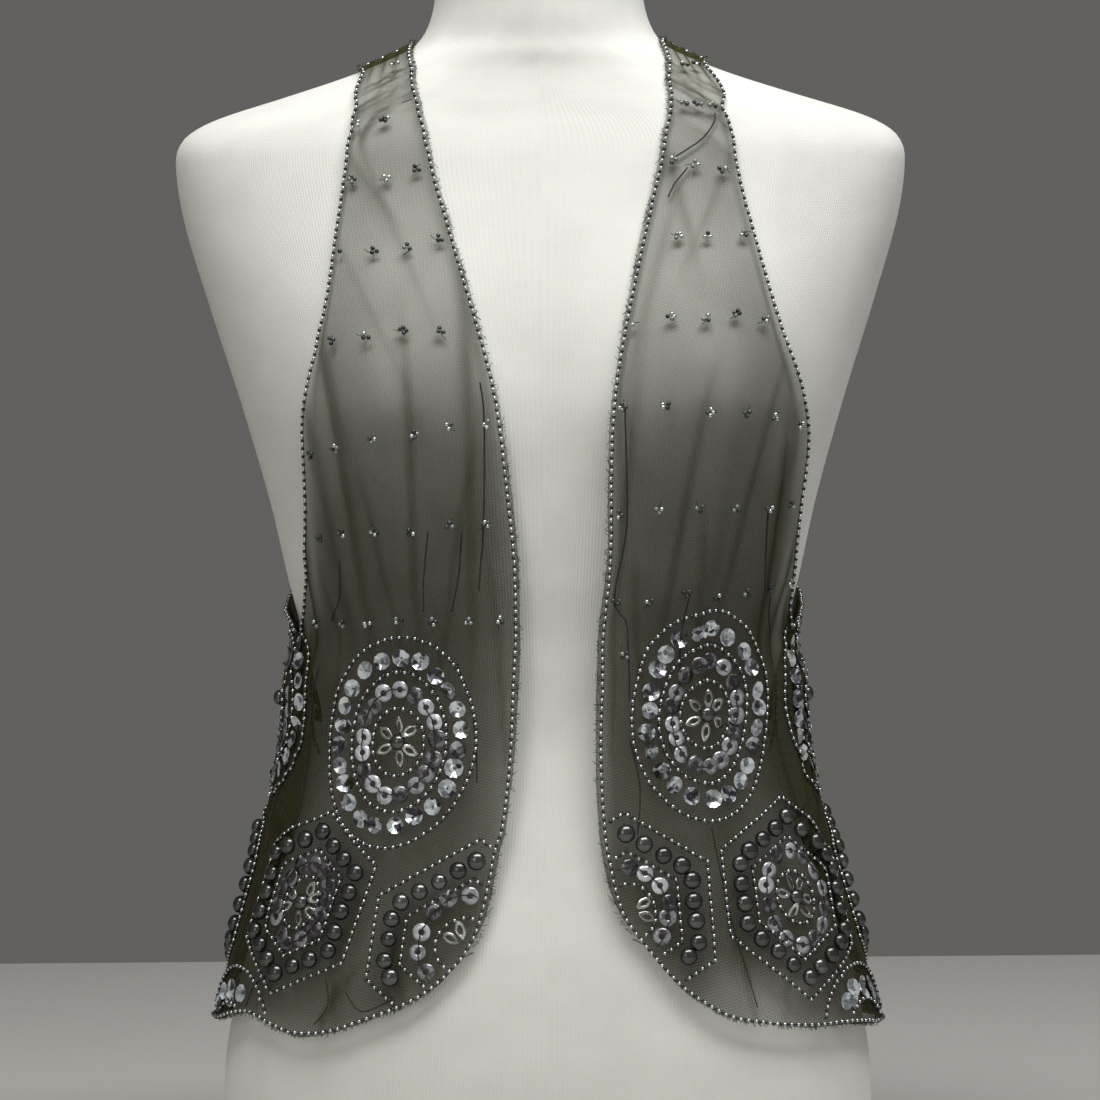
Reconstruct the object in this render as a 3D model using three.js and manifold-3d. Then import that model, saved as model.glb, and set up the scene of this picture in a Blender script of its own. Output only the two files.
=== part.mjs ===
// A beaded net waistcoat on a limbless dress form.
// Millimetres, +Z up, the front faces -Y. The form stands flat on Z = 0.
// A place on the body is a turn (degrees round from centre front, positive to +X) and a height.
import * as THREE from "three";
import { mergeVertices } from "three/addons/utils/BufferGeometryUtils.js";
import Module from "manifold-3d";

const wasm = await Module();
wasm.setup();

const DEG = Math.PI / 180;

// The form: level sections from the flat base to the plain top of the neck.
// half, front and back are its reach to each side, and square is the power of its outline.
const FORM_RINGS = [
  { height: 0, half: 172, front: 97, back: 121, square: 2.2 },
  { height: 8, half: 176, front: 99, back: 124, square: 2.2 },
  { height: 55, half: 180, front: 101, back: 127, square: 2.2 },
  { height: 95, half: 177.5, front: 102, back: 124, square: 2.2 },
  { height: 150, half: 164, front: 99, back: 111, square: 2.2 },
  { height: 205, half: 141, front: 91, back: 91, square: 2.15 },
  { height: 262, half: 124, front: 83, back: 79, square: 2.1 },
  { height: 312, half: 133, front: 84, back: 82, square: 2.15 },
  { height: 350, half: 142.5, front: 89, back: 89, square: 2.2 },
  { height: 392, half: 152, front: 93, back: 95, square: 2.25 },
  { height: 448, half: 168, front: 94, back: 99, square: 2.3 },
  { height: 505, half: 186, front: 87, back: 101, square: 2.4 },
  { height: 550, half: 199, front: 76, back: 98, square: 2.5 },
  { height: 582, half: 203, front: 68, back: 92, square: 2.6 },
  { height: 593, half: 199, front: 65, back: 89, square: 2.5 },
  { height: 600, half: 190, front: 63, back: 87, square: 2.4 },
  { height: 606, half: 176, front: 61.5, back: 84, square: 2.3 },
  { height: 616, half: 144, front: 59, back: 80, square: 2.2 },
  { height: 627, half: 110, front: 57, back: 76, square: 2.1 },
  { height: 636, half: 87, front: 57, back: 73, square: 2.0 },
  { height: 644, half: 71, front: 56, back: 70, square: 2.0 },
  { height: 655, half: 62.5, front: 56, back: 65, square: 2.0 },
  { height: 672, half: 58, front: 55, back: 61, square: 2.0 },
  { height: 700, half: 56.5, front: 54, back: 59, square: 2.0 },
  { height: 712, half: 56, front: 53, back: 58, square: 2.0 },
  { height: 715, half: 53, front: 50, back: 55, square: 2.0 },
];
const FORM_SIDES = 36;
const BUST = { across: 86, height: 446, out: 26, spread: 36, above: 50, below: 32, clothBelow: 60 };
const DEPTH_SHIFT = -7.3; // moves everything along Y, so that the origin is under the middle

// How far the cloth hangs clear of the form to the side, in front and behind.
const CLOTH_EASE = [
  { height: 95, side: 8, front: 4, back: 4 },
  { height: 150, side: 7, front: 3, back: 4 },
  { height: 205, side: 15, front: 8, back: 11 },
  { height: 262, side: 20, front: 13, back: 16 },
  { height: 290, side: 15, front: 12, back: 14 },
  { height: 315, side: 4, front: 10, back: 11 },
  { height: 350, side: 3, front: 7, back: 7 },
  { height: 400, side: 2, front: 3, back: 3 },
  { height: 448, side: 1, front: 1, back: 1 },
  { height: 560, side: 0.4, front: 0.4, back: 0.4 },
  { height: 600, side: 0, front: 0, back: 0 },
  { height: 715, side: 0, front: 0, back: 0 },
];
const WALL = { clear: 1.2, thick: 1.2 }; // off the form at its closest, and the cloth's own wall
const SEAM_GAP = 0.5;

// The largest soft folds: where the middle of each is, how long and wide it is, how far it stands out.
const FOLDS = [
  { turn: -43, height: 385, long: 190, wide: 17, out: 3.2 },
  { turn: -25, height: 392, long: 150, wide: 15, out: 2.4 },
  { turn: -13, height: 300, long: 210, wide: 13, out: 2.2 },
  { turn: -58, height: 235, long: 160, wide: 20, out: 3.6 },
  { turn: 17, height: 360, long: 220, wide: 13, out: 2.4 },
  { turn: 33, height: 310, long: 240, wide: 16, out: 3.4 },
  { turn: 50, height: 355, long: 150, wide: 17, out: 3.0 },
  { turn: 64, height: 240, long: 170, wide: 19, out: 3.8 },
  { turn: 103, height: 250, long: 190, wide: 20, out: 3.4 },
  { turn: 128, height: 300, long: 210, wide: 18, out: 2.8 },
  { turn: 158, height: 285, long: 250, wide: 19, out: 3.2 },
  { turn: 187, height: 330, long: 200, wide: 17, out: 2.2 },
  { turn: 210, height: 280, long: 230, wide: 20, out: 3.3 },
  { turn: 241, height: 265, long: 180, wide: 18, out: 2.9 },
  { turn: 262, height: 225, long: 150, wide: 19, out: 3.5 },
];
const STRAP_GATHER = { folds: 3, out: 1.3, from: 585, flat: 0.1 }; // small pleats where the straps are drawn in

// Lines that the seed bead strands follow, each from the bottom up or from the front round.
const SIDE_SEAM = [
  { turn: 77, height: 105 },
  { turn: 74.5, height: 210 },
  { turn: 72, height: 316 },
];
const LEFT_SHOULDER = { outer: 632, inner: 646 };
const RIGHT_SHOULDER = { outer: 635, inner: 647 };
const LEFT_FRONT_EDGE = [
  { turn: -13.2, height: 147 },
  { turn: -10.6, height: 166 },
  { turn: -8.7, height: 203 },
  { turn: -7.4, height: 220 },
  { turn: -6.1, height: 278 },
  { turn: -4.9, height: 350 },
  { turn: -5.7, height: 400 },
  { turn: -6.8, height: 446 },
  { turn: -9.6, height: 508 },
  { turn: -11.3, height: 554 },
  { turn: -12.4, height: 584 },
  { turn: -16.2, height: 600 },
  { turn: -24.3, height: 613.5 },
  { turn: -39.4, height: 628 },
  { turn: -67.4, height: 641.5 },
  { turn: -90, height: LEFT_SHOULDER.inner },
];
const LEFT_HEM = [
  { turn: -13.2, height: 147 },
  { turn: -17.8, height: 132 },
  { turn: -23, height: 122 },
  { turn: -29.5, height: 114.5 },
  { turn: -37.4, height: 107 },
  { turn: -45, height: 105 },
  { turn: -52, height: 108.5 },
  { turn: -62, height: 114 },
  { turn: -77, height: 108 },
];
const LEFT_ARMHOLE = [
  { turn: -65.5, height: 331 },
  { turn: -58, height: 354 },
  { turn: -53.4, height: 387 },
  { turn: -48, height: 430 },
  { turn: -43, height: 452 },
  { turn: -34, height: 499 },
  { turn: -27, height: 554 },
  { turn: -24.7, height: 582 },
  { turn: -26.4, height: 596 },
  { turn: -33, height: 608 },
  { turn: -55, height: 625 },
  { turn: -90, height: LEFT_SHOULDER.outer },
];
const RIGHT_FRONT_EDGE = [
  { turn: 15.8, height: 153 },
  { turn: 12.4, height: 170 },
  { turn: 10.9, height: 196 },
  { turn: 10.4, height: 218 },
  { turn: 11.1, height: 282 },
  { turn: 12, height: 356 },
  { turn: 11.3, height: 402 },
  { turn: 11, height: 446 },
  { turn: 11.9, height: 500 },
  { turn: 13.4, height: 571 },
  { turn: 14.1, height: 586 },
  { turn: 17, height: 598 },
  { turn: 22.4, height: 609 },
  { turn: 32.4, height: 622 },
  { turn: 53.4, height: 637 },
  { turn: 68.8, height: 643.5 },
  { turn: 90, height: RIGHT_SHOULDER.inner },
];
const RIGHT_HEM = [
  { turn: 15.8, height: 153 },
  { turn: 19.2, height: 139 },
  { turn: 23.2, height: 127 },
  { turn: 29.8, height: 114.6 },
  { turn: 37.9, height: 109.4 },
  { turn: 48.7, height: 106.6 },
  { turn: 62, height: 106 },
  { turn: 77, height: 103 },
];
const RIGHT_ARMHOLE = [
  { turn: 67.5, height: 338 },
  { turn: 64, height: 370 },
  { turn: 60, height: 418 },
  { turn: 53.3, height: 446 },
  { turn: 40.6, height: 486 },
  { turn: 31.5, height: 530 },
  { turn: 25.2, height: 575 },
  { turn: 26.6, height: 597 },
  { turn: 33, height: 608 },
  { turn: 56, height: 628 },
  { turn: 90, height: RIGHT_SHOULDER.outer },
];
// The right half of the back's armhole; the left half mirrors it up to its own shoulder.
const BACK_ARMHOLE = [
  { turn: 82, height: 328 },
  { turn: 104, height: 342 },
  { turn: 128, height: 368 },
  { turn: 146, height: 404 },
  { turn: 158, height: 450 },
  { turn: 163, height: 500 },
  { turn: 163, height: 552 },
  { turn: 158, height: 590 },
  { turn: 148, height: 612 },
  { turn: 128, height: 625 },
];
const BACK_HEM_DROP = 6; // the middle of the back hem hangs this much lower than its ends
const NAPE_DROP = 4;
const EDGE_MARGIN = { front: 3.6, hem: 2.6, armhole: 1.6, neck: 1.2 }; // cloth beyond the strands

// Hexagonal medallions carry a ring of large pearls, which stand up from the cloth.
// half and tall are their reach from the middle, and side is half the length of their upright sides.
const PEARL_INSET = 9.5; // from a medallion's edge to the middle of its pearls
const PEARL = { sides: 4, foot: 4.8, crown: 2.7, rise: 5.6, clear: 6.5 };
const FRONT_HEXAGONS = [
  { turn: -51, height: 174, lean: 8, half: 37, tall: 51, side: 27, pearls: 20 },
  { turn: -12.9, height: 153.6, lean: 4, half: 51, tall: 57, side: 22.5, pearls: 24 },
  { turn: 14, height: 171.1, lean: 1.4, half: 43.5, tall: 52.5, side: 26.5, pearls: 22 },
  { turn: 52.7, height: 174.5, lean: 6.5, half: 43, tall: 56.5, side: 24, pearls: 22 },
];
const BACK_HEXAGONS = [
  { turn: 103, height: 172, lean: 1, half: 44, tall: 54, side: 27, pearls: 22 },
  { turn: 147, height: 169, lean: 0, half: 44, tall: 54, side: 27, pearls: 22 },
  { turn: 180, height: 167, lean: 0, half: 44, tall: 54, side: 27, pearls: 22 },
  { turn: 213, height: 169, lean: 0, half: 44, tall: 54, side: 27, pearls: 22 },
  { turn: 257, height: 172, lean: -1, half: 44, tall: 54, side: 27, pearls: 22 },
];

const STRAND = { half: 1.1, clear: 0.5, tall: 2 }; // one row of seed beads on the cloth

const COLOURS = {
  form: { color: 0xe4e4da, roughness: 0.85, metalness: 0 },
  net: { color: 0x3c372f, roughness: 0.9, metalness: 0 },
  beads: { color: 0x9a9aa0, roughness: 0.3, metalness: 0.6 },
};

// A column of a table at any height, along a smooth curve through its rows.
function smooth(rows, column, height) {
  const last = rows.length - 1;
  const h = Math.min(Math.max(height, rows[0].height), rows[last].height);
  let i = 0;
  while (i < last - 1 && rows[i + 1].height < h) i += 1;
  const slope = (k) => {
    const a = rows[Math.max(k - 1, 0)];
    const b = rows[Math.min(k + 1, last)];
    return (b[column] - a[column]) / (b.height - a.height);
  };
  const span = rows[i + 1].height - rows[i].height;
  const t = (h - rows[i].height) / span;
  const rise = slope(i) * span * t * (1 - t) * (1 - t) - slope(i + 1) * span * t * t * (1 - t);
  return rows[i][column] * (1 + 2 * t) * (1 - t) * (1 - t) + rows[i + 1][column] * t * t * (3 - 2 * t) + rise;
}

function bustOut(across, height, below) {
  const spread = height > BUST.height ? BUST.above : below;
  const side = (Math.abs(across) - BUST.across) / BUST.spread;
  const up = (height - BUST.height) / spread;
  return BUST.out * Math.exp(-(side * side + up * up) / 2);
}

// A point of the level section at this height, of the form or of the cloth that hangs round it.
function section(turn, height, isCloth) {
  const ease = (column) => (isCloth ? smooth(CLOTH_EASE, column, height) : 0);
  const power = 2 / smooth(FORM_RINGS, "square", height);
  const s = Math.sin(turn * DEG);
  const c = Math.cos(turn * DEG);
  const half = smooth(FORM_RINGS, "half", height) + ease("side");
  const face = c > 0 ? "front" : "back";
  const depth = smooth(FORM_RINGS, face, height) + ease(face);
  const x = half * Math.sign(s) * Math.abs(s) ** power;
  let y = -depth * Math.sign(c) * Math.abs(c) ** power;
  if (c > 0) {
    const t = Math.min(1, c / 0.5);
    y -= bustOut(x, height, isCloth ? BUST.clothBelow : BUST.below) * t * t * (3 - 2 * t);
  }
  return new THREE.Vector3(x, y + DEPTH_SHIFT, height);
}

const STEP = 0.25; // degrees and millimetres, for slopes
const ROUND_PER_DEGREE = 2.3; // millimetres of cloth in a degree, near enough for the width of a fold

function slopes(turn, height) {
  const along = section(turn + STEP, height, true).sub(section(turn - STEP, height, true));
  const up = section(turn, height + STEP, true).sub(section(turn, height - STEP, true));
  return { along: along.divideScalar(2 * STEP), up: up.divideScalar(2 * STEP) };
}

function foldOut(turn, height) {
  let out = 0;
  for (const fold of FOLDS) {
    const round = THREE.MathUtils.euclideanModulo(turn - fold.turn + 180, 360) - 180;
    const across = (round * ROUND_PER_DEGREE) / (fold.wide / 2);
    const up = (height - fold.height) / (fold.long / 2);
    out += fold.out * Math.exp(-(across ** 2) - up ** 4);
  }
  return out;
}

// A point of the cloth, `off` millimetres out from the inside of its wall.
function cloth(turn, height, off) {
  const { along, up } = slopes(turn, height);
  const normal = along.cross(up).normalize();
  return section(turn, height, true).addScaledVector(normal, WALL.clear + foldOut(turn, height) + off);
}

// The place that lies `across` and `above` a place, measured on the cloth.
function walk(place, across, above) {
  const height = place.height + above / slopes(place.turn, place.height).up.length();
  let turn = place.turn;
  const parts = 6;
  for (let i = 0; i < parts; i += 1) turn += across / parts / slopes(turn, height).along.length();
  return { turn, height };
}

// Tables joined end to end, each a smooth curve of (turn, height), by their length from 0 to 1.
function curveOf(...tables) {
  const path = new THREE.CurvePath();
  for (const rows of tables) {
    path.add(new THREE.SplineCurve(rows.map((row) => new THREE.Vector2(row.turn, row.height))));
  }
  return path;
}

const mirrored = (rows) => rows.map((row) => ({ turn: 360 - row.turn, height: row.height }));
const negated = (rows) => rows.map((row) => ({ turn: -row.turn, height: row.height }));

const CLOSER_UPWARD = 1.25; // rows lie closer together towards the shoulders
const HEM_FADE = 4; // how fast the line of the hem, and of the nape, dies away over the rows
const NAPE_FADE = 8;

// A panel is a patch between its two long edges, with its hem and its top drawn to their own lines.
function makePanel({ start, end, hem, topDrop, margins, columns, rows, hexagons }) {
  const startCurve = curveOf(...start);
  const endCurve = curveOf(...end);
  const hemCurve = hem ? curveOf(hem) : null;
  const corners = [startCurve.getPoint(0), endCurve.getPoint(0)];
  const place = (u, v) => {
    const inside = Math.min(Math.max(v, 0), 1);
    const a = startCurve.getPointAt(inside);
    const b = endCurve.getPointAt(inside);
    const p = a.clone().lerp(b, u);
    if (hemCurve) {
      const level = corners[0].clone().lerp(corners[1], Math.min(Math.max(u, 0), 1));
      const sag = hemCurve.getPointAt(Math.min(Math.max(u, 0), 1)).sub(level);
      p.addScaledVector(sag, (1 - inside) ** HEM_FADE);
    } else {
      p.y -= BACK_HEM_DROP * Math.sin(Math.PI * u) * (1 - inside) ** HEM_FADE;
    }
    p.y -= (topDrop ?? 0) * Math.sin(Math.PI * u) * inside ** NAPE_FADE;
    return { turn: p.x, height: p.y };
  };
  const point = (u, v, off) => {
    const at = place(u, v);
    const gathered = THREE.MathUtils.smoothstep(at.height, STRAP_GATHER.from, start.at(-1).at(-1).height);
    const { folds, flat } = STRAP_GATHER;
    const between = THREE.MathUtils.clamp((u - flat) / (1 - 2 * flat), 0, 1);
    const wave = hem ? 0.5 - 0.5 * Math.cos(2 * Math.PI * folds * between) : 0;
    return cloth(at.turn, at.height, off + STRAP_GATHER.out * gathered * wave);
  };
  const reach = (v) => {
    let sum = 0;
    for (let i = 0; i < 6; i += 1) sum += point(i / 6, v, 0).distanceTo(point((i + 1) / 6, v, 0));
    return sum;
  };
  const us = Array.from({ length: columns + 1 }, (_, i) => i / columns);
  const vs = Array.from({ length: rows + 1 }, (_, i) => 1 - (1 - i / rows) ** CLOSER_UPWARD);
  // The columns of the wall at a row: on its strands, or just inside a seam.
  const columnsAt = (v) => {
    const long = reach(v);
    const pastStart = margins.start(place(0, v).height) / long;
    const pastEnd = margins.end(place(1, v).height) / long;
    const from = Math.max(0, -2 * pastStart);
    const to = Math.min(1, 1 + 2 * pastEnd);
    const inner = us.map((u) => from + (to - from) * u);
    return { inner, all: [-pastStart, ...inner, 1 + pastEnd] };
  };
  return { place, point, columnsAt, vs, margins, hexagons };
}

// The closed wall of a panel, with its raw edges a little outside its strands of beads.
function wallOf(panel) {
  const { vs, margins } = panel;
  const beyond = (edge, inner, distance) => {
    return edge.map((p, i) => p.clone().addScaledVector(p.clone().sub(inner[i]).normalize(), distance));
  };
  const [inside, outside] = [0, WALL.thick].map((off) => {
    const grid = vs.map((v) => panel.columnsAt(v).all.map((u) => panel.point(u, v, off)));
    const below = beyond(grid[0], grid[1], margins.hem);
    const above = beyond(grid.at(-1), grid.at(-2), margins.top);
    return margins.top > 0 ? [below, ...grid, above] : [below, ...grid.slice(0, -1), above];
  });
  return closedWall(inside, outside);
}

// Joins an inside and an outside grid of points into one closed body that faces out.
function closedWall(inside, outside) {
  const rows = inside.length;
  const columns = inside[0].length;
  const points = [...inside.flat(), ...outside.flat()];
  const layer = rows * columns;
  const faces = [];
  const at = (i, j, out) => i * columns + j + (out ? layer : 0);
  const quad = (a, b, c, d) => faces.push(a, b, c, a, c, d);
  for (let i = 0; i < rows - 1; i += 1) {
    for (let j = 0; j < columns - 1; j += 1) {
      quad(at(i, j, true), at(i, j + 1, true), at(i + 1, j + 1, true), at(i + 1, j, true));
      faces.push(at(i, j, false), at(i + 1, j + 1, false), at(i, j + 1, false));
      faces.push(at(i, j, false), at(i + 1, j, false), at(i + 1, j + 1, false));
    }
  }
  for (let j = 0; j < columns - 1; j += 1) {
    quad(at(0, j, false), at(0, j + 1, false), at(0, j + 1, true), at(0, j, true));
    quad(at(rows - 1, j + 1, false), at(rows - 1, j, false), at(rows - 1, j, true), at(rows - 1, j + 1, true));
  }
  const end = columns - 1;
  for (let i = 0; i < rows - 1; i += 1) {
    quad(at(i + 1, 0, false), at(i, 0, false), at(i, 0, true), at(i + 1, 0, true));
    quad(at(i, end, false), at(i + 1, end, false), at(i + 1, end, true), at(i, end, true));
  }
  return facingOut(points, faces);
}

function facingOut(points, faces) {
  let volume = 0;
  for (let i = 0; i < faces.length; i += 3) {
    const [a, b, c] = [points[faces[i]], points[faces[i + 1]], points[faces[i + 2]]];
    volume += a.dot(b.clone().cross(c));
  }
  if (volume < 0) faces.reverse();
  const geometry = new THREE.BufferGeometry().setFromPoints(points);
  geometry.setIndex(faces);
  return geometry;
}

// One row of seed beads along a line of the panel, as a low three-sided strip just off the cloth.
function strandGeometry(panel, line) {
  const base = WALL.thick + STRAND.clear;
  const middle = line.map(([u, v]) => panel.point(u, v, base));
  const top = line.map(([u, v]) => panel.point(u, v, base + STRAND.tall));
  const last = line.length - 1;
  const rings = line.map((_, i) => {
    const along = middle[Math.min(i + 1, last)].clone().sub(middle[Math.max(i - 1, 0)]).normalize();
    const out = top[i].clone().sub(middle[i]).normalize();
    const side = along.clone().cross(out).multiplyScalar(STRAND.half);
    const trim = along.multiplyScalar(i === 0 ? STRAND.clear : i === last ? -STRAND.clear : 0);
    return [middle[i].clone().add(side), middle[i].clone().sub(side), top[i].clone()].map((p) => p.add(trim));
  });
  const points = rings.flat();
  const faces = [];
  for (let i = 0; i < last; i += 1) {
    for (let k = 0; k < 3; k += 1) {
      const a = i * 3 + k;
      const b = i * 3 + ((k + 1) % 3);
      faces.push(a, b, b + 3, a, b + 3, a + 3);
    }
  }
  faces.push(0, 2, 1, last * 3, last * 3 + 1, last * 3 + 2);
  return facingOut(points, faces);
}

// The rows of a panel between two heights of one of its long edges, as a line to bead.
function edgeLine(panel, u, from, to) {
  const rows = panel.vs.filter((v) => panel.place(u, v).height >= from && panel.place(u, v).height <= to);
  return rows.map((v) => [u, v]);
}

// One level row of a panel as a line to bead, from its first column to its last.
function levelLine(panel, v) {
  return panel.columnsAt(v).inner.map((u) => [u, v]);
}

// Even places round a hexagon drawn `inset` inside the medallion's edge, from its top.
function hexagonRing({ half, tall, side }, inset, count) {
  const pitch = (tall - side) / half;
  const top = tall - inset * Math.hypot(1, pitch);
  const wide = half - inset;
  const shoulder = top - pitch * wide;
  const outline = new THREE.CurvePath();
  const corners = [
    [0, top],
    [wide, shoulder],
    [wide, -shoulder],
    [0, -top],
    [-wide, -shoulder],
    [-wide, shoulder],
  ].map(([x, y]) => new THREE.Vector2(x, y));
  corners.forEach((corner, i) => outline.add(new THREE.LineCurve(corner, corners[(i + 1) % 6])));
  return Array.from({ length: count }, (_, i) => outline.getPointAt(i / count));
}

function leaning(spot, degrees) {
  return spot.clone().rotateAround(new THREE.Vector2(0, 0), -degrees * DEG);
}

// Where the line out of the cloth at a place meets the wall's own outer face.
function onWall(wall, place) {
  const above = cloth(place.turn, place.height, PEARL.rise + WALL.thick);
  const out = above.clone().sub(cloth(place.turn, place.height, 0)).normalize();
  const ray = new THREE.Ray(above, out.clone().negate());
  const points = wall.getAttribute("position");
  const corners = [0, 1, 2].map(() => new THREE.Vector3());
  let nearest = null;
  for (let i = 0; i < wall.index.count; i += 3) {
    corners.forEach((corner, k) => corner.fromBufferAttribute(points, wall.index.getX(i + k)));
    const hit = ray.intersectTriangle(...corners, true, new THREE.Vector3());
    if (hit && (!nearest || hit.distanceTo(above) < nearest.distanceTo(above))) nearest = hit;
  }
  return nearest ? { foot: nearest.addScaledVector(out, -WALL.thick / 2), out } : null;
}

// A large pearl as a low cone with a flat crown, its foot sunk into the cloth's wall.
function pearlGeometry({ foot, out }) {
  const rise = WALL.thick / 2 + PEARL.rise;
  const cone = new THREE.CylinderGeometry(PEARL.crown, PEARL.foot, rise, PEARL.sides);
  cone.translate(0, rise / 2, 0);
  cone.applyQuaternion(new THREE.Quaternion().setFromUnitVectors(new THREE.Vector3(0, 1, 0), out));
  cone.translate(foot.x, foot.y, foot.z);
  return cone;
}

function solidOf(geometry) {
  const bare = new THREE.BufferGeometry();
  bare.setAttribute("position", geometry.getAttribute("position"));
  bare.setIndex(geometry.index);
  const merged = mergeVertices(bare, 1e-4);
  const mesh = new wasm.Mesh({
    numProp: 3,
    vertProperties: merged.attributes.position.array,
    triVerts: new Uint32Array(merged.index.array),
  });
  return new wasm.Manifold(mesh);
}

function geometryOf(solid) {
  const mesh = solid.getMesh();
  const geometry = new THREE.BufferGeometry();
  geometry.setAttribute("position", new THREE.BufferAttribute(mesh.vertProperties, 3));
  geometry.setIndex(new THREE.BufferAttribute(mesh.triVerts, 1));
  return geometry;
}

// Whether a place lies on a panel, far enough from its edges for a pearl to sit whole.
function isInside(panel, place) {
  const there = section(place.turn, place.height, true);
  const steps = Array.from({ length: 60 }, (_, i) => i / 60);
  const down = steps.map((t) => panel.place(0, 1 - t));
  const round = steps.map((t) => panel.place(t, 0));
  const outline = [...down, ...round, ...steps.map((t) => panel.place(1, t))];
  let crossings = 0;
  let nearest = Infinity;
  outline.forEach((a, i) => {
    const b = outline[(i + 1) % outline.length];
    nearest = Math.min(nearest, section(a.turn, a.height, true).distanceTo(there));
    if (a.height > place.height === b.height > place.height) return;
    const turn = a.turn + ((place.height - a.height) / (b.height - a.height)) * (b.turn - a.turn);
    if (turn > place.turn) crossings += 1;
  });
  return crossings % 2 === 1 && nearest > PEARL.clear;
}

function pearledWall(panel) {
  const wall = wallOf(panel);
  let solid = solidOf(wall);
  for (const hexagon of panel.hexagons) {
    for (const spot of hexagonRing(hexagon, PEARL_INSET, hexagon.pearls)) {
      const { x, y } = leaning(spot, hexagon.lean);
      const place = walk(hexagon, x, y);
      const seat = isInside(panel, place) ? onWall(wall, place) : null;
      if (seat) solid = solid.add(solidOf(pearlGeometry(seat)));
    }
  }
  return geometryOf(solid);
}

// Levels of the form, spaced evenly between these heights, closer where it curves more.
const FORM_LEVELS = [
  { from: 0, to: 8, count: 1 },
  { from: 8, to: 582, count: 24 },
  { from: 582, to: 655, count: 11 },
  { from: 655, to: 712, count: 2 },
  { from: 712, to: 715, count: 1 },
];

function formGeometry() {
  const heights = FORM_LEVELS.flatMap(({ from, to, count }) => {
    return Array.from({ length: count }, (_, i) => from + ((to - from) * i) / count);
  });
  heights.push(FORM_LEVELS.at(-1).to);
  const rings = heights.map((height) =>
    Array.from({ length: FORM_SIDES }, (_, i) => section((360 * i) / FORM_SIDES, height, false)),
  );
  const points = rings.flat();
  const faces = [];
  for (let i = 0; i < rings.length - 1; i += 1) {
    for (let k = 0; k < FORM_SIDES; k += 1) {
      const a = i * FORM_SIDES + k;
      const b = i * FORM_SIDES + ((k + 1) % FORM_SIDES);
      faces.push(a, b, b + FORM_SIDES, a, b + FORM_SIDES, a + FORM_SIDES);
    }
  }
  const top = (rings.length - 1) * FORM_SIDES;
  for (let k = 1; k < FORM_SIDES - 1; k += 1) {
    faces.push(0, k + 1, k, top, top + k, top + k + 1);
  }
  return facingOut(points, faces);
}

// Cloth past a strand: a seam keeps half of the seam's gap clear, an armhole its raw edge.
const UNDERARM = 320;
const SHOULDER_SEAM = 630;
const pastFrontSide = (height) => (height < UNDERARM ? -SEAM_GAP / 2 : EDGE_MARGIN.armhole);
const pastBackSide = (height) => (height > SHOULDER_SEAM ? -SEAM_GAP / 2 : pastFrontSide(height));
const frontMargins = {
  start: () => EDGE_MARGIN.front,
  end: pastFrontSide,
  hem: EDGE_MARGIN.hem,
  top: -SEAM_GAP / 2,
};
const backMargins = {
  start: pastBackSide,
  end: pastBackSide,
  hem: EDGE_MARGIN.hem,
  top: EDGE_MARGIN.neck,
};

const UNDERARM_POINT = SIDE_SEAM.at(-1);
const seamFrom = (height) => [{ turn: SIDE_SEAM[0].turn, height }, ...SIDE_SEAM.slice(1)];
const backArmhole = (height) => [UNDERARM_POINT, ...BACK_ARMHOLE, { turn: 90, height }];
const shoulderSeam = ({ outer, inner }) => [outer, inner].map((height) => ({ turn: 90, height }));

const leftFront = makePanel({
  start: [LEFT_FRONT_EDGE],
  end: [negated(seamFrom(108)), [...negated([UNDERARM_POINT]), ...LEFT_ARMHOLE]],
  hem: LEFT_HEM,
  margins: frontMargins,
  columns: 11,
  rows: 29,
  hexagons: FRONT_HEXAGONS,
});
const rightFront = makePanel({
  start: [RIGHT_FRONT_EDGE],
  end: [seamFrom(103), [UNDERARM_POINT, ...RIGHT_ARMHOLE]],
  hem: RIGHT_HEM,
  margins: frontMargins,
  columns: 11,
  rows: 29,
  hexagons: FRONT_HEXAGONS,
});
const back = makePanel({
  start: [seamFrom(103), backArmhole(RIGHT_SHOULDER.outer), shoulderSeam(RIGHT_SHOULDER)],
  end: [seamFrom(108), backArmhole(LEFT_SHOULDER.outer), shoulderSeam(LEFT_SHOULDER)].map(mirrored),
  topDrop: NAPE_DROP,
  margins: backMargins,
  columns: 21,
  rows: 28,
  hexagons: BACK_HEXAGONS,
});

function addNode(group, name, geometry, finish) {
  geometry.computeVertexNormals();
  const mesh = new THREE.Mesh(geometry, new THREE.MeshStandardMaterial(COLOURS[finish]));
  mesh.name = name;
  group.add(mesh);
}

const waistcoat = new THREE.Group();
addNode(waistcoat, "dress_form", formGeometry(), "form");
addNode(waistcoat, "left_front", pearledWall(leftFront), "net");
addNode(waistcoat, "right_front", pearledWall(rightFront), "net");
addNode(waistcoat, "back", pearledWall(back), "net");

const TOP = 720;
const frontRuns = { left: leftFront, right: rightFront };
for (const [side, panel] of Object.entries(frontRuns)) {
  const opening = [...edgeLine(panel, 0, 0, TOP).reverse(), ...levelLine(panel, 0).slice(1)];
  addNode(waistcoat, `${side}_front_edging`, strandGeometry(panel, opening), "beads");
  const armhole = edgeLine(panel, 1, UNDERARM, TOP);
  addNode(waistcoat, `${side}_armhole_edging`, strandGeometry(panel, armhole), "beads");
}
const backRuns = {
  back_hem_edging: levelLine(back, 0),
  back_neck_edging: levelLine(back, 1),
  back_right_armhole_edging: edgeLine(back, 0, UNDERARM, SHOULDER_SEAM),
  back_left_armhole_edging: edgeLine(back, 1, UNDERARM, SHOULDER_SEAM - 4),
};
for (const [name, line] of Object.entries(backRuns)) {
  addNode(waistcoat, name, strandGeometry(back, line), "beads");
}

export default waistcoat;
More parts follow.
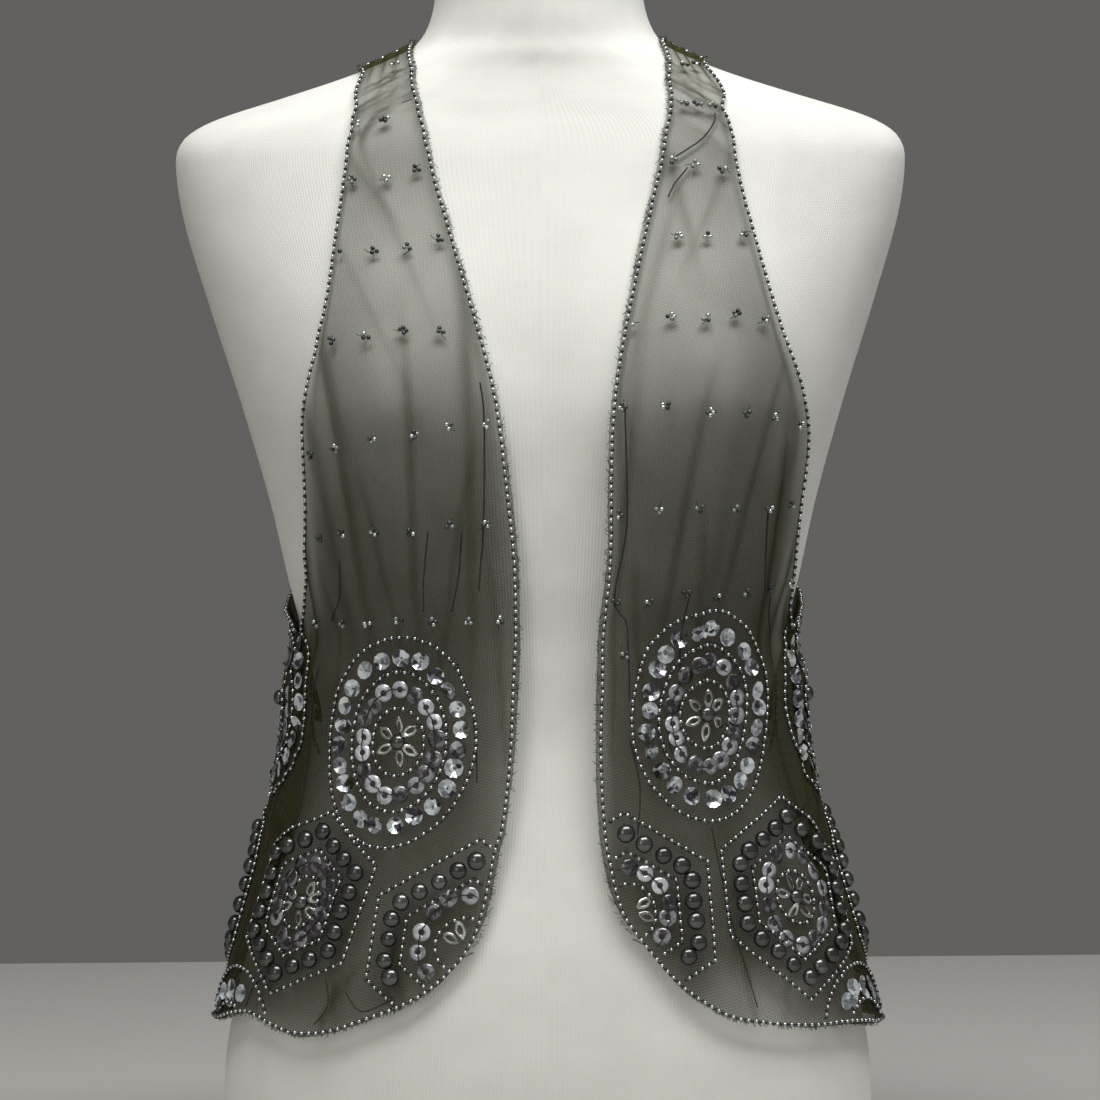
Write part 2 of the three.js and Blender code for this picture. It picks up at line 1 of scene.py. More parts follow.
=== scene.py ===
# %% [markdown]
# # A beaded net waistcoat on a dress form
# The real object is a sheer black net waistcoat, open in front, sewn with glass beads, sequins and pearls,
# and shown on a cream jersey dress form. The construction model holds its sizes. Here every surface
# gets its finish, and the fine pieces that are too small for the construction model are added.

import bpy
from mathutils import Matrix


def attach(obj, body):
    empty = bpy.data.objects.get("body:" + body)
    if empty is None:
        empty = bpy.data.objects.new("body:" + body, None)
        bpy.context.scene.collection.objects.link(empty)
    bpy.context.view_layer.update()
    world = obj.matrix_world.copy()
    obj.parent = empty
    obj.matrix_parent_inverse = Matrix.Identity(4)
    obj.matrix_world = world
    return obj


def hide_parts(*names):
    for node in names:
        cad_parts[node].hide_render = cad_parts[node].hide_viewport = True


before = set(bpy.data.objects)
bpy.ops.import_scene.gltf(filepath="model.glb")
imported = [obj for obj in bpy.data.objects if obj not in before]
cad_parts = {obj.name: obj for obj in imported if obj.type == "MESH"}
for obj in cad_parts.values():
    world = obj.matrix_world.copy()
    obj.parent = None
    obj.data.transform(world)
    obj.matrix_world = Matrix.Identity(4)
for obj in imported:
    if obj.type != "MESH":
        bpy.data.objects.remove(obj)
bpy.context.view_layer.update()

# %% Tools
import math

import bpy
import numpy as np
from mathutils import Vector, kdtree

MM = 0.001
rng = np.random.default_rng(11)


def lengths_along(line):
    """The length from the start of a line to each of its points."""
    return np.concatenate([[0], np.cumsum(np.linalg.norm(np.diff(line, axis=0), axis=1))])


def read_line(line, along, stops):
    """The points of a line at these lengths along it."""
    return np.stack([np.interp(stops, along, column) for column in np.transpose(line)], -1)


# %% [markdown]
# ## The body as a surface
# Everything lies on one surface, so a place on the body is just a turn (degrees round from centre front)
# and a height in millimetres. The tables of the form, its ease and the folds are the same driving sizes
# that the construction model uses. A formula was chosen over sculpting, because beads, net and form are
# then all placed by the same numbers.

# %% The sizes of the form
def table(columns, *rows):
    """A short table with named columns."""
    return dict(zip(columns.split(), np.array(rows, float).T))


FORM_RINGS = table(
    "height half front back square",
    (0, 172, 97, 121, 2.2),
    (8, 176, 99, 124, 2.2),
    (55, 180, 101, 127, 2.2),
    (95, 177.5, 102, 124, 2.2),
    (150, 164, 99, 111, 2.2),
    (205, 141, 91, 91, 2.15),
    (262, 124, 83, 79, 2.1),
    (312, 133, 84, 82, 2.15),
    (350, 142.5, 89, 89, 2.2),
    (392, 152, 93, 95, 2.25),
    (448, 168, 94, 99, 2.3),
    (505, 186, 87, 101, 2.4),
    (550, 199, 76, 98, 2.5),
    (582, 203, 68, 92, 2.6),
    (593, 199, 65, 89, 2.5),
    (600, 190, 63, 87, 2.4),
    (606, 176, 61.5, 84, 2.3),
    (616, 144, 59, 80, 2.2),
    (627, 110, 57, 76, 2.1),
    (636, 87, 57, 73, 2.0),
    (644, 71, 56, 70, 2.0),
    (655, 62.5, 56, 65, 2.0),
    (672, 58, 55, 61, 2.0),
    (700, 56.5, 54, 59, 2.0),
    (712, 56, 53, 58, 2.0),
    (715, 53, 50, 55, 2.0),
)
BUST = {"across": 86, "height": 446, "out": 26, "spread": 36, "above": 50, "form": 32, "cloth": 60}
DEPTH_SHIFT = -7.3
print("level sections of the form", len(FORM_RINGS["height"]))

# %% The ease of the cloth, and its folds
CLOTH_EASE = table(
    "height side front back",
    (95, 8, 4, 4),
    (150, 7, 3, 4),
    (205, 15, 8, 11),
    (262, 20, 13, 16),
    (290, 15, 12, 14),
    (315, 4, 10, 11),
    (350, 3, 7, 7),
    (400, 2, 3, 3),
    (448, 1, 1, 1),
    (560, 0.4, 0.4, 0.4),
    (600, 0, 0, 0),
    (715, 0, 0, 0),
)
FOLDS = table(
    "turn height long wide out lean",
    (-43, 385, 190, 17, 3.2, 0),
    (-25, 392, 150, 15, 2.4, 0),
    (-13, 300, 210, 13, 2.2, 0),
    (-58, 235, 160, 20, 3.6, 0),
    (17, 360, 220, 13, 2.4, 0),
    (33, 310, 240, 16, 3.4, 0),
    (50, 355, 150, 17, 3.0, 0),
    (64, 240, 170, 19, 3.8, 0),
    (103, 250, 190, 20, 3.4, 0),
    (128, 300, 210, 18, 2.8, 0),
    (158, 285, 250, 19, 3.2, 0),
    (187, 330, 200, 17, 2.2, 0),
    (210, 280, 230, 20, 3.3, 0),
    (241, 265, 180, 18, 2.9, 0),
    (262, 225, 150, 19, 3.5, 0),
)
# Creases are finer than folds: they are pressed into the net, and the net is denser along them, partly as
# folded net and partly as painted shade in the crease.
CREASES = table(
    "turn height long wide out lean",
    (-57, 352, 130, 5, 1.9, 8),
    (-50, 300, 90, 3.7, 1.2, -6),
    (-38.5, 398, 190, 5.6, 1.7, 2),
    (-33, 345, 110, 3.7, 1.1, -4),
    (-24, 392, 160, 4.3, 1.5, 5),
    (-17.5, 350, 130, 3.7, 1.2, 12),
    (-12.2, 402, 210, 4.3, 1.5, 3),
    (-8.6, 300, 130, 3.1, 1, -3),
    (-63, 205, 120, 5, 1.6, -8),
    (-69, 280, 100, 5.6, 1.8, 4),
    (-36, 128, 34, 4.3, 1.3, 24),
    (-25, 140, 44, 3.7, 1.1, -14),
    (-56, 126, 30, 3.7, 1.2, 30),
    (-24, 575, 70, 3.7, 0.8, -20),
    (-29, 617, 34, 2.9, 1.2, -34),
    (-36, 622, 26, 2.6, 1.3, -48),
    (-72, 300, 80, 5, 2, 3),
    (-75, 238, 90, 5.6, 2, -6),
    (-79, 262, 120, 4.3, 1.9, 5),
    (-19.5, 545, 120, 3.1, 0.5, -9),
    (-20, 612, 26, 3.1, 0.7, -40),
    (-27, 505, 110, 3.7, 0.4, -12),
    (14, 350, 190, 3.7, 1.5, 1),
    (19.5, 300, 120, 3.7, 1.1, -6),
    (26.5, 385, 130, 4.3, 1.4, 3),
    (32.5, 345, 80, 3.7, 1.1, -5),
    (42, 398, 120, 4.3, 1.2, 5),
    (52, 360, 140, 5, 1.7, -6),
    (59.5, 322, 90, 4.3, 1.7, 9),
    (66, 272, 110, 5.6, 1.8, -3),
    (35, 132, 60, 3.7, 1.2, -3),
    (31, 617, 34, 2.9, 1.2, 38),
    (38, 624, 24, 2.6, 1.3, 52),
    (71, 306, 84, 5, 2, -5),
    (75, 240, 100, 5.6, 2, 6),
    (79, 280, 120, 4.3, 1.9, -4),
    (62, 130, 44, 3.7, 1.2, -18),
    (44, 122, 26, 3.7, 1, 16),
    (16, 560, 80, 3.7, 0.7, -16),
    (19, 592, 44, 3.7, 0.9, -34),
    (23, 560, 90, 3.1, 0.5, 10),
    (14.5, 500, 120, 3.7, 0.5, 4),
    (83, 300, 110, 5, 1.5, -10),
    (97, 226, 120, 5.6, 1.2, 7),
    (117, 250, 150, 5, 1.3, 9),
    (141, 330, 160, 5.6, 1.4, -6),
    (155, 372, 90, 4.3, 1.2, 8),
    (172, 250, 170, 5.6, 1.2, 5),
    (166, 470, 170, 5, 0.9, -4),
    (181, 560, 120, 5.6, 0.6, 3),
    (189, 402, 120, 4.3, 1.2, 7),
    (193, 540, 120, 4.3, 0.5, -9),
    (209, 345, 110, 4.3, 1.3, -5),
    (224, 320, 150, 5, 1.2, -8),
    (233, 190, 90, 5.6, 1.1, 10),
    (251, 300, 130, 5, 1.4, 6),
    (275, 270, 120, 5, 1.5, -7),
)
# Gathers change only how dense the net is, and not its shape: partly net drawn together, partly painted
# shade in the gathers. The last one lowers the cover instead, so the net there is lighter.
GATHERS_AND_PAINTED_SHADE = table(
    "turn height long wide out lean",
    (-30, 612, 34, 2.2, 1.1, -12),
    (-23.5, 603, 36, 2.0, 0.8, -6),
    (-38, 619, 24, 2.6, 1.2, -24),
    (-27, 590, 30, 2.4, 0.6, 8),
    (29, 612, 34, 2.2, 1.1, 10),
    (38, 620, 26, 2.6, 1.2, 24),
    (23, 600, 30, 2.2, 0.8, -30),
    (-70, 290, 110, 6, 0.9, 4),
    (-76, 240, 120, 6, 0.9, -5),
    (70, 300, 110, 6, 0.9, -4),
    (76, 246, 130, 7, 1.0, 5),
    (-24, 118, 30, 3, 0.7, -30),
    (-38, 122, 26, 2.6, 0.9, 12),
    (39, 122, 38, 66, -0.6, 0),
)
WALL = {"clear": 1.2, "net": 0.35}
ROUND_PER_DEGREE = 2.3
print({"folds": len(FOLDS["turn"]), "creases": len(CREASES["turn"]), "gathers": len(GATHERS_AND_PAINTED_SHADE["turn"])})

# %% The surface in formulas
def smooth(rows, column, height):
    """A column of a table at any heights, along a smooth curve through its rows."""
    levels, values = rows["height"], rows[column]
    slopes = np.gradient(values)
    slopes[1:-1] = (values[2:] - values[:-2]) / (levels[2:] - levels[:-2])
    slopes[[0, -1]] = np.diff(values)[[0, -1]] / np.diff(levels)[[0, -1]]
    h = np.clip(height, levels[0], levels[-1])
    i = np.clip(np.searchsorted(levels, h) - 1, 0, len(levels) - 2)
    span = levels[i + 1] - levels[i]
    t = (h - levels[i]) / span
    ends = values[i] * (1 + 2 * t) * (1 - t) ** 2 + values[i + 1] * t**2 * (3 - 2 * t)
    return ends + span * (slopes[i] * t * (1 - t) ** 2 - slopes[i + 1] * t**2 * (1 - t))


def section(turn, height, what):
    """Points of the level sections of the form or of the cloth that hangs round it, in millimetres."""
    turn, height = np.broadcast_arrays(np.asarray(turn, float), np.asarray(height, float))
    s, c = np.sin(np.radians(turn)), np.cos(np.radians(turn))
    power = 2 / smooth(FORM_RINGS, "square", height)
    half, front, back = (smooth(FORM_RINGS, column, height) for column in ("half", "front", "back"))
    if what == "cloth":
        half = half + smooth(CLOTH_EASE, "side", height)
        front = front + smooth(CLOTH_EASE, "front", height)
        back = back + smooth(CLOTH_EASE, "back", height)
    x = half * np.sign(s) * np.abs(s) ** power
    y = -np.where(c > 0, front, back) * np.sign(c) * np.abs(c) ** power
    spread = np.where(height > BUST["height"], BUST["above"], BUST[what])
    side = (np.abs(x) - BUST["across"]) / BUST["spread"]
    bust = BUST["out"] * np.exp(-(side**2 + ((height - BUST["height"]) / spread) ** 2) / 2)
    facing = np.clip(c / 0.5, 0, 1)
    y = y - bust * facing**2 * (3 - 2 * facing)
    return np.stack([x, y + DEPTH_SHIFT, height], -1)


def relief(turn, height, rows):
    """How far soft folds stand out of the cloth."""
    out = np.zeros(np.shape(turn))
    for fold in zip(*(rows[c] for c in ("turn", "height", "long", "wide", "out", "lean"))):
        middle, level, long, wide, high, lean = fold
        slant = math.tan(math.radians(lean)) * (height - level) / ROUND_PER_DEGREE
        round_it = (turn - middle - slant + 180) % 360 - 180
        across = round_it * ROUND_PER_DEGREE / (wide / 2)
        out = out + high * np.exp(-(across**2) - ((height - level) / (long / 2)) ** 4)
    return out


def unit(vectors):
    return vectors / np.maximum(np.linalg.norm(vectors, axis=-1, keepdims=True), 1e-9)


def slopes(turn, height, step=0.25):
    """Millimetres of cloth for a degree of turn and for a millimetre of height, as directions."""
    along = section(turn + step, height, "cloth") - section(turn - step, height, "cloth")
    up = section(turn, height + step, "cloth") - section(turn, height - step, "cloth")
    return along / (2 * step), up / (2 * step)


def cloth(turn, height, off):
    """Points of the cloth and the directions out of it; `off` is measured from the inside of its wall."""
    turn, height = np.asarray(turn, float), np.asarray(height, float)
    along, up = slopes(turn, height)
    out = unit(np.cross(along, up))
    lift = WALL["clear"] + relief(turn, height, FOLDS) + relief(turn, height, CREASES) + off
    return section(turn, height, "cloth") + out * np.asarray(lift)[..., None], out


def walk(spot, across, above):
    """The places that lie across and above a place, in millimetres on the cloth."""
    height = spot["height"] + above / np.linalg.norm(slopes(spot["turn"], spot["height"])[1])
    turn = np.full(np.shape(across), float(spot["turn"]))
    parts = 8
    for _ in range(parts):
        turn = turn + across / parts / np.linalg.norm(slopes(turn, height)[0], axis=-1)
    return turn, height


print("front of the cloth at the bust", cloth(-30.0, 440.0, 0)[0].round(1))

# %% [markdown]
# ## The three panels of net
# A maker cuts two fronts and a back. Each panel is a patch between its two long edges, and the rows of
# beads follow those edges. The outlines are short tables, smoothed by a curve through their points.

# %% The outlines of the panels
SIDE_SEAM = [(77, 105), (74.5, 210), (72, 316)]
SHOULDERS = {"left": {"outer": 632, "inner": 646}, "right": {"outer": 635, "inner": 647}}
LEFT_FRONT_EDGE = [
    (-13.2, 147), (-10.6, 166), (-8.7, 203), (-7.4, 220), (-6.1, 278), (-4.9, 350), (-5.7, 400), (-6.8, 446),
    (-9.6, 508), (-11.3, 554), (-12.4, 584), (-16.2, 600), (-24.3, 613.5), (-39.4, 628), (-67.4, 641.5),
    (-90, SHOULDERS["left"]["inner"]),
]
LEFT_HEM = [
    (-13.2, 147), (-17.8, 132), (-23, 122), (-29.5, 114.5), (-37.4, 107), (-45, 105), (-52, 108.5),
    (-62, 114), (-77, 108),
]
LEFT_ARMHOLE = [
    (-72, 316), (-65.5, 331), (-58, 354), (-53.4, 387), (-48, 430), (-43, 452), (-34, 499), (-27, 554),
    (-24.7, 582), (-26.4, 596), (-33, 608), (-55, 625), (-90, SHOULDERS["left"]["outer"]),
]
RIGHT_FRONT_EDGE = [
    (15.8, 153), (12.4, 170), (10.9, 196), (10.4, 218), (11.1, 282), (12, 356), (11.3, 402), (11, 446),
    (11.9, 500), (13.4, 571), (14.1, 586), (17, 598), (22.4, 609), (32.4, 622), (53.4, 637), (68.8, 643.5),
    (90, SHOULDERS["right"]["inner"]),
]
RIGHT_HEM = [
    (15.8, 153), (19.2, 139), (23.2, 127), (29.8, 114.6), (37.9, 109.4), (48.7, 106.6), (62, 106), (77, 103),
]
RIGHT_ARMHOLE = [
    (72, 316), (67.5, 338), (64, 370), (60, 418), (53.3, 446), (40.6, 486), (31.5, 530), (25.2, 575),
    (26.6, 597), (33, 608), (56, 628), (90, SHOULDERS["right"]["outer"]),
]
BACK_ARMHOLE = [
    (72, 316), (82, 328), (104, 342), (128, 368), (146, 404), (158, 450), (163, 500), (163, 552), (158, 590),
    (148, 612), (128, 625),
]
BACK_HEM_DROP = 6
NAPE_DROP = 4
MARGIN = {"front": 3.0, "hem": 2.2, "armhole": 1.6, "neck": 1.2, "seam": -0.25}
STRAP_GATHER = {"folds": 3, "out": 1.3, "from": 585, "flat": 0.1}
print("points in the front edges", len(LEFT_FRONT_EDGE), len(RIGHT_FRONT_EDGE))

# %% Curves and patches
def curve(*tables, per_step=24):
    """Tables joined end to end, each a smooth curve, as a function of their length from 0 to 1."""
    lines = []
    for rows in tables:
        p = np.array(rows, float)
        before = np.vstack([p[:1], p[:-2]])
        after = np.vstack([p[2:], p[-1:]])
        t = (np.arange(per_step) / per_step)[:, None, None]
        start, end = p[:-1], p[1:]
        a, b = (end - before) / 2, (after - start) / 2
        cubed = 2 * start - 2 * end + a + b
        squared = -3 * start + 3 * end - 2 * a - b
        shape = cubed * t**3 + squared * t**2 + a * t + start
        lines += [shape.transpose(1, 0, 2).reshape(-1, 2), p[-1:]]
    line = np.concatenate(lines)
    along = lengths_along(line)
    along /= along[-1]
    return lambda share: read_line(line, along, share)


def smoothstep(x):
    x = np.clip(x, 0, 1)
    return x * x * (3 - 2 * x)


class Panel:
    """A panel of cloth: u runs from its first long edge to its second, v from the hem to the top."""

    def __init__(self, name, first, second, hem=None, margins=None):
        self.name, self.margins = name, margins
        self.first, self.second = curve(*first), curve(*second)
        self.hem = curve(hem) if hem else None
        self.rows = np.linspace(0, 1, 61)
        lines = self.point(np.linspace(0, 1, 13)[:, None], self.rows[None, :], 0)[0]
        self.widths = np.linalg.norm(np.diff(lines, axis=0), axis=-1).sum(0)
        self.length = np.linalg.norm(np.diff(lines[6], axis=0), axis=-1).sum()

    def inside(self, u, v):
        u, v = np.broadcast_arrays(np.asarray(u, float), np.asarray(v, float))
        a, b = self.first(v), self.second(v)
        p = a + (b - a) * u[..., None]
        level = np.clip(u, 0, 1)[..., None]
        if self.hem:
            start, end = self.first(0.0), self.second(0.0)
            p = p + (self.hem(level[..., 0]) - start - (end - start) * level) * ((1 - v) ** 4)[..., None]
            return p
        bow = np.sin(np.pi * level[..., 0])
        p[..., 1] -= bow * (BACK_HEM_DROP * (1 - v) ** 4 + NAPE_DROP * v**8)
        return p

    def place(self, u, v):
        """Turn and height of a point of the panel, carried on in a straight line past its hem and top."""
        u, v = np.broadcast_arrays(np.asarray(u, float), np.asarray(v, float))
        held = np.clip(v, 0, 1)
        step = 0.01
        towards = np.where(v < 0.5, step, -step)
        p = self.inside(u, held)
        slope = (self.inside(u, np.clip(held + towards, 0, 1)) - p) / towards[..., None]
        return p + slope * (v - held)[..., None]

    def point(self, u, v, off):
        p = self.place(u, v)
        turn, height = p[..., 0], p[..., 1]
        lift = off
        if self.hem:
            flat, folds = STRAP_GATHER["flat"], STRAP_GATHER["folds"]
            between = np.clip((np.broadcast_to(u, turn.shape) - flat) / (1 - 2 * flat), 0, 1)
            drawn = smoothstep((height - STRAP_GATHER["from"]) / (self.first(1.0)[1] - STRAP_GATHER["from"]))
            lift = off + STRAP_GATHER["out"] * drawn * (0.5 - 0.5 * np.cos(2 * np.pi * folds * between))
        return cloth(turn, height, lift)


SEAM_LEVELS = {"underarm": 320, "shoulder": 630}


def beside_front(height):
    """How far a front's side edge runs on past its beads: a raw edge, or none where a seam joins it."""
    return np.where(height < SEAM_LEVELS["underarm"], MARGIN["seam"], MARGIN["armhole"])


def beside_back(height):
    return np.where(height > SEAM_LEVELS["shoulder"], MARGIN["seam"], beside_front(height))


def mirrored(rows, centre):
    return [(centre - turn, height) for turn, height in rows]


def seam_from(height):
    return [(SIDE_SEAM[0][0], height), *SIDE_SEAM[1:]]


def back_side(hem_height, shoulder):
    armhole = [*BACK_ARMHOLE, (90, shoulder["outer"])]
    return [seam_from(hem_height), armhole, [(90, shoulder["outer"]), (90, shoulder["inner"])]]


front_margins = {"first": lambda h: MARGIN["front"], "second": beside_front, "top": MARGIN["seam"]}
back_margins = {"first": beside_back, "second": beside_back, "top": MARGIN["neck"]}
left_front = Panel(
    "left_front", [LEFT_FRONT_EDGE], [mirrored(seam_from(108), 0), LEFT_ARMHOLE], LEFT_HEM, front_margins
)
right_front = Panel(
    "right_front", [RIGHT_FRONT_EDGE], [seam_from(103), RIGHT_ARMHOLE], RIGHT_HEM, front_margins
)
back = Panel(
    "back",
    back_side(103, SHOULDERS["right"]),
    [mirrored(rows, 360) for rows in back_side(108, SHOULDERS["left"])],
    margins=back_margins,
)
PANELS = [left_front, right_front, back]
for panel in PANELS:
    print(panel.name, "width at hem", round(panel.widths[0]), "length", round(panel.length))

# %% [markdown]
# ## Finishes
# Cloth, glass, sequins and jersey each get their own material. Effects that several of them need, such as
# a net of threads or an uneven tone, are node groups with named sockets, built once and used with other
# values. They read the piece's own UV map in millimetres or a bead's own attribute, so nothing slides.

# %% Small helpers for shader nodes
def set_sockets(node, values):
    for socket, value in values.items():
        node.inputs[socket].default_value = value
    return node


def add_node(tree, kind, inputs=None, **settings):
    node = tree.nodes.new(kind)
    for name, value in settings.items():
        setattr(node, name, value)
    for socket, value in (inputs or {}).items():
        if isinstance(value, bpy.types.NodeSocket):
            tree.links.new(value, node.inputs[socket])
        else:
            node.inputs[socket].default_value = value
    return node


def sums(tree, operation, *values):
    """One math node, with a number or another node's output for each value."""
    return add_node(tree, "ShaderNodeMath", dict(enumerate(values)), operation=operation).outputs[0]


def new_group(name, inputs, outputs):
    tree = bpy.data.node_groups.new(name, "ShaderNodeTree")
    for label, (kind, value) in inputs.items():
        socket = tree.interface.new_socket(name=label, in_out="INPUT", socket_type=kind)
        if value is not None:
            socket.default_value = value
    for label, kind in outputs.items():
        tree.interface.new_socket(name=label, in_out="OUTPUT", socket_type=kind)
    return tree, tree.nodes.new("NodeGroupInput").outputs, tree.nodes.new("NodeGroupOutput").inputs


def new_material(name, **principled):
    material = bpy.data.materials.new(name)
    material.use_nodes = True
    tree = material.node_tree
    shader = tree.nodes["Principled BSDF"]
    set_sockets(shader, {key.replace("_", " "): value for key, value in principled.items()})
    return material, tree, shader


def use_group(tree, group, inputs):
    return add_node(tree, "ShaderNodeGroup", inputs, node_tree=group).outputs


def shaded(tree, colour, tone):
    """A colour multiplied by a tone, for a shader's Base Color."""
    mix = add_node(tree, "ShaderNodeMix", data_type="RGBA", blend_type="MULTIPLY")
    mix.inputs["Factor"].default_value = 1.0
    mix.inputs["A"].default_value = colour
    tree.links.new(tone, mix.inputs["B"])
    return mix.outputs["Result"]


FLOAT, VECTOR = "NodeSocketFloat", "NodeSocketVector"

# %% An uneven tone, for jersey, net and glass
uneven, given, made = new_group(
    "uneven_tone",
    {"Vector": (VECTOR, None), "Size": (FLOAT, 1.0), "Low": (FLOAT, 0.9), "High": (FLOAT, 1.1)},
    {"Tone": FLOAT},
)
noise = {"Vector": given["Vector"], "Scale": given["Size"], "Detail": 3.0}
cloud = add_node(uneven, "ShaderNodeTexNoise", noise).outputs[0]
limits = {"From Min": 0.3, "From Max": 0.7, "To Min": given["Low"], "To Max": given["High"]}
spread = add_node(uneven, "ShaderNodeMapRange", {"Value": cloud, **limits})
uneven.links.new(spread.outputs[0], made["Tone"])
print("group", uneven.name)

# %% A net of fine threads in three directions
tulle, given, made = new_group(
    "net_of_threads",
    {"Vector": (VECTOR, None), "Pitch": (FLOAT, 1.3), "Open": (FLOAT, 0.2), "Thread": (FLOAT, 0.6)},
    {"Cover": FLOAT},
)
split = add_node(tulle, "ShaderNodeSeparateXYZ", {0: given["Vector"]}).outputs
lines = []
for angle in (0, 60, 120):
    ax, ay = math.cos(math.radians(angle)), math.sin(math.radians(angle))
    across = sums(tulle, "ADD", sums(tulle, "MULTIPLY", split[0], ax), sums(tulle, "MULTIPLY", split[1], ay))
    phase = sums(tulle, "DIVIDE", sums(tulle, "MULTIPLY", across, 2 * math.pi), given["Pitch"])
    lines.append(sums(tulle, "COSINE", phase))
highest = sums(tulle, "MAXIMUM", sums(tulle, "MAXIMUM", lines[0], lines[1]), lines[2])
limits = {"From Min": 0.0, "From Max": 1.0, "To Min": given["Open"], "To Max": given["Thread"]}
cover = add_node(tulle, "ShaderNodeMapRange", {"Value": highest, **limits})
tulle.links.new(cover.outputs[0], made["Cover"])
print("group", tulle.name)

# %% Fine upright ribs of a jersey
ribs, given, made = new_group(
    "jersey_ribs",
    {"Vector": (VECTOR, None), "Pitch": (FLOAT, 1.2), "Stitch": (FLOAT, 0.9)},
    {"Height": FLOAT},
)
split = add_node(ribs, "ShaderNodeSeparateXYZ", {0: given["Vector"]}).outputs
waves = []
for place, length in ((split[0], given["Pitch"]), (split[1], given["Stitch"])):
    turns = sums(ribs, "DIVIDE", sums(ribs, "MULTIPLY", place, 2 * math.pi), length)
    waves.append(sums(ribs, "SINE", turns))
wale, course = waves
noise = {"Vector": given["Vector"], "Scale": 0.9, "Detail": 2.0}
fuzz = add_node(ribs, "ShaderNodeTexNoise", noise).outputs[0]
height = sums(ribs, "ADD", sums(ribs, "MULTIPLY", wale, 0.7), sums(ribs, "MULTIPLY", course, 0.25))
ribs.links.new(sums(ribs, "ADD", height, fuzz), made["Height"])
print("node groups", [g.name for g in bpy.data.node_groups])

# %% [markdown]
# ### Jersey of the form
# A cream cotton jersey with very fine upright ribs, a little warmer and duller in places. The ribs are
# a bump that reads the UV map in millimetres, because at this size they are far finer than the mesh.

# %% The jersey
jersey, tree, shader = new_material(
    "cream_jersey", Roughness=0.85, Sheen_Weight=0.25, Sheen_Roughness=0.5, Specular_IOR_Level=0.2
)
flat_map = add_node(tree, "ShaderNodeUVMap", uv_map="cloth_mm").outputs[0]
tone = use_group(tree, uneven, {"Vector": flat_map, "Size": 0.03, "Low": 0.95, "High": 1.03})
tree.links.new(shaded(tree, (0.82, 0.82, 0.785, 1), tone[0]), shader.inputs["Base Color"])
height = use_group(tree, ribs, {"Vector": flat_map, "Pitch": 1.5})[0]
bump = add_node(tree, "ShaderNodeBump", {"Height": height, "Strength": 0.35, "Distance": 0.0002})
tree.links.new(bump.outputs[0], shader.inputs["Normal"])
print("material", jersey.name)

# %% [markdown]
# ### Black net
# Sheer net is mostly holes, so it darkens what lies behind it. The cover of the threads drives the alpha.
# It is denser low down, where the cloth hangs slack, and this also paints the shade that falls below the
# bust.
# It is denser along creases and gathers, partly as folded net and partly as painted shade in the folds, and
# denser where the eye looks along it instead of through it.

# %% The net
net, tree, shader = new_material(
    "black_net", Roughness=0.8, Base_Color=(0.042, 0.039, 0.013, 1), Specular_IOR_Level=0.1
)
flat_map = add_node(tree, "ShaderNodeUVMap", uv_map="cloth_mm").outputs[0]
threads = use_group(tree, tulle, {"Vector": flat_map, "Pitch": 1.35, "Open": 0.14, "Thread": 0.32})[0]
tone = use_group(tree, uneven, {"Vector": flat_map, "Size": 0.02, "Low": 0.9, "High": 1.12})[0]
spot = add_node(tree, "ShaderNodeTexCoord").outputs["Object"]
level = add_node(tree, "ShaderNodeSeparateXYZ", {0: spot}).outputs[2]
# Denser below the bust, where the net hangs slack, and painted shade that makes the lower part dark.
limits = {"From Min": 0.35, "From Max": 0.452, "To Min": 1.37, "To Max": 0.7}
lower_cover_and_painted_shade = add_node(tree, "ShaderNodeMapRange", {"Value": level, **limits}, interpolation_type="SMOOTHSTEP")
alpha = sums(tree, "MULTIPLY", sums(tree, "MULTIPLY", threads, tone), lower_cover_and_painted_shade.outputs[0])
# Painted shade: creases and gathers add cover, partly folded net and partly shade in the folds.
gathered = add_node(tree, "ShaderNodeAttribute", attribute_name="gathered").outputs["Fac"]
alpha = sums(tree, "ADD", alpha, sums(tree, "MULTIPLY", gathered, 0.29))
aslant = add_node(tree, "ShaderNodeLayerWeight", {"Blend": 0.35}).outputs["Facing"]
alpha = sums(tree, "ADD", alpha, sums(tree, "MULTIPLY", sums(tree, "POWER", aslant, 2.0), 0.95))
tree.links.new(sums(tree, "MINIMUM", alpha, 0.95), shader.inputs["Alpha"])
print("material", net.name)

# %% [markdown]
# ### Glass, pearls, sequins and thread
# Seed beads alternate between silver-lined and black glass, so one material reads each bead's own tone.
# Sequins are thin plastic with a pearly film, and the large pearls are dark with a soft highlight. All of
# these films are one function with other values, because they differ only in colour and in how they shine.

# %% Seed beads
glass, tree, shader = new_material("seed_bead_glass", Roughness=0.16, Coat_Weight=0.6, Coat_Roughness=0.08)
tone = add_node(tree, "ShaderNodeAttribute", attribute_name="tone").outputs["Fac"]
mix = add_node(tree, "ShaderNodeMix", data_type="RGBA")
tree.links.new(tone, mix.inputs["Factor"])
mix.inputs["A"].default_value = (0.012, 0.012, 0.014, 1)
mix.inputs["B"].default_value = (0.72, 0.75, 0.74, 1)
tree.links.new(mix.outputs["Result"], shader.inputs["Base Color"])
tree.links.new(sums(tree, "MULTIPLY", tone, 0.9), shader.inputs["Metallic"])
print("material", glass.name)

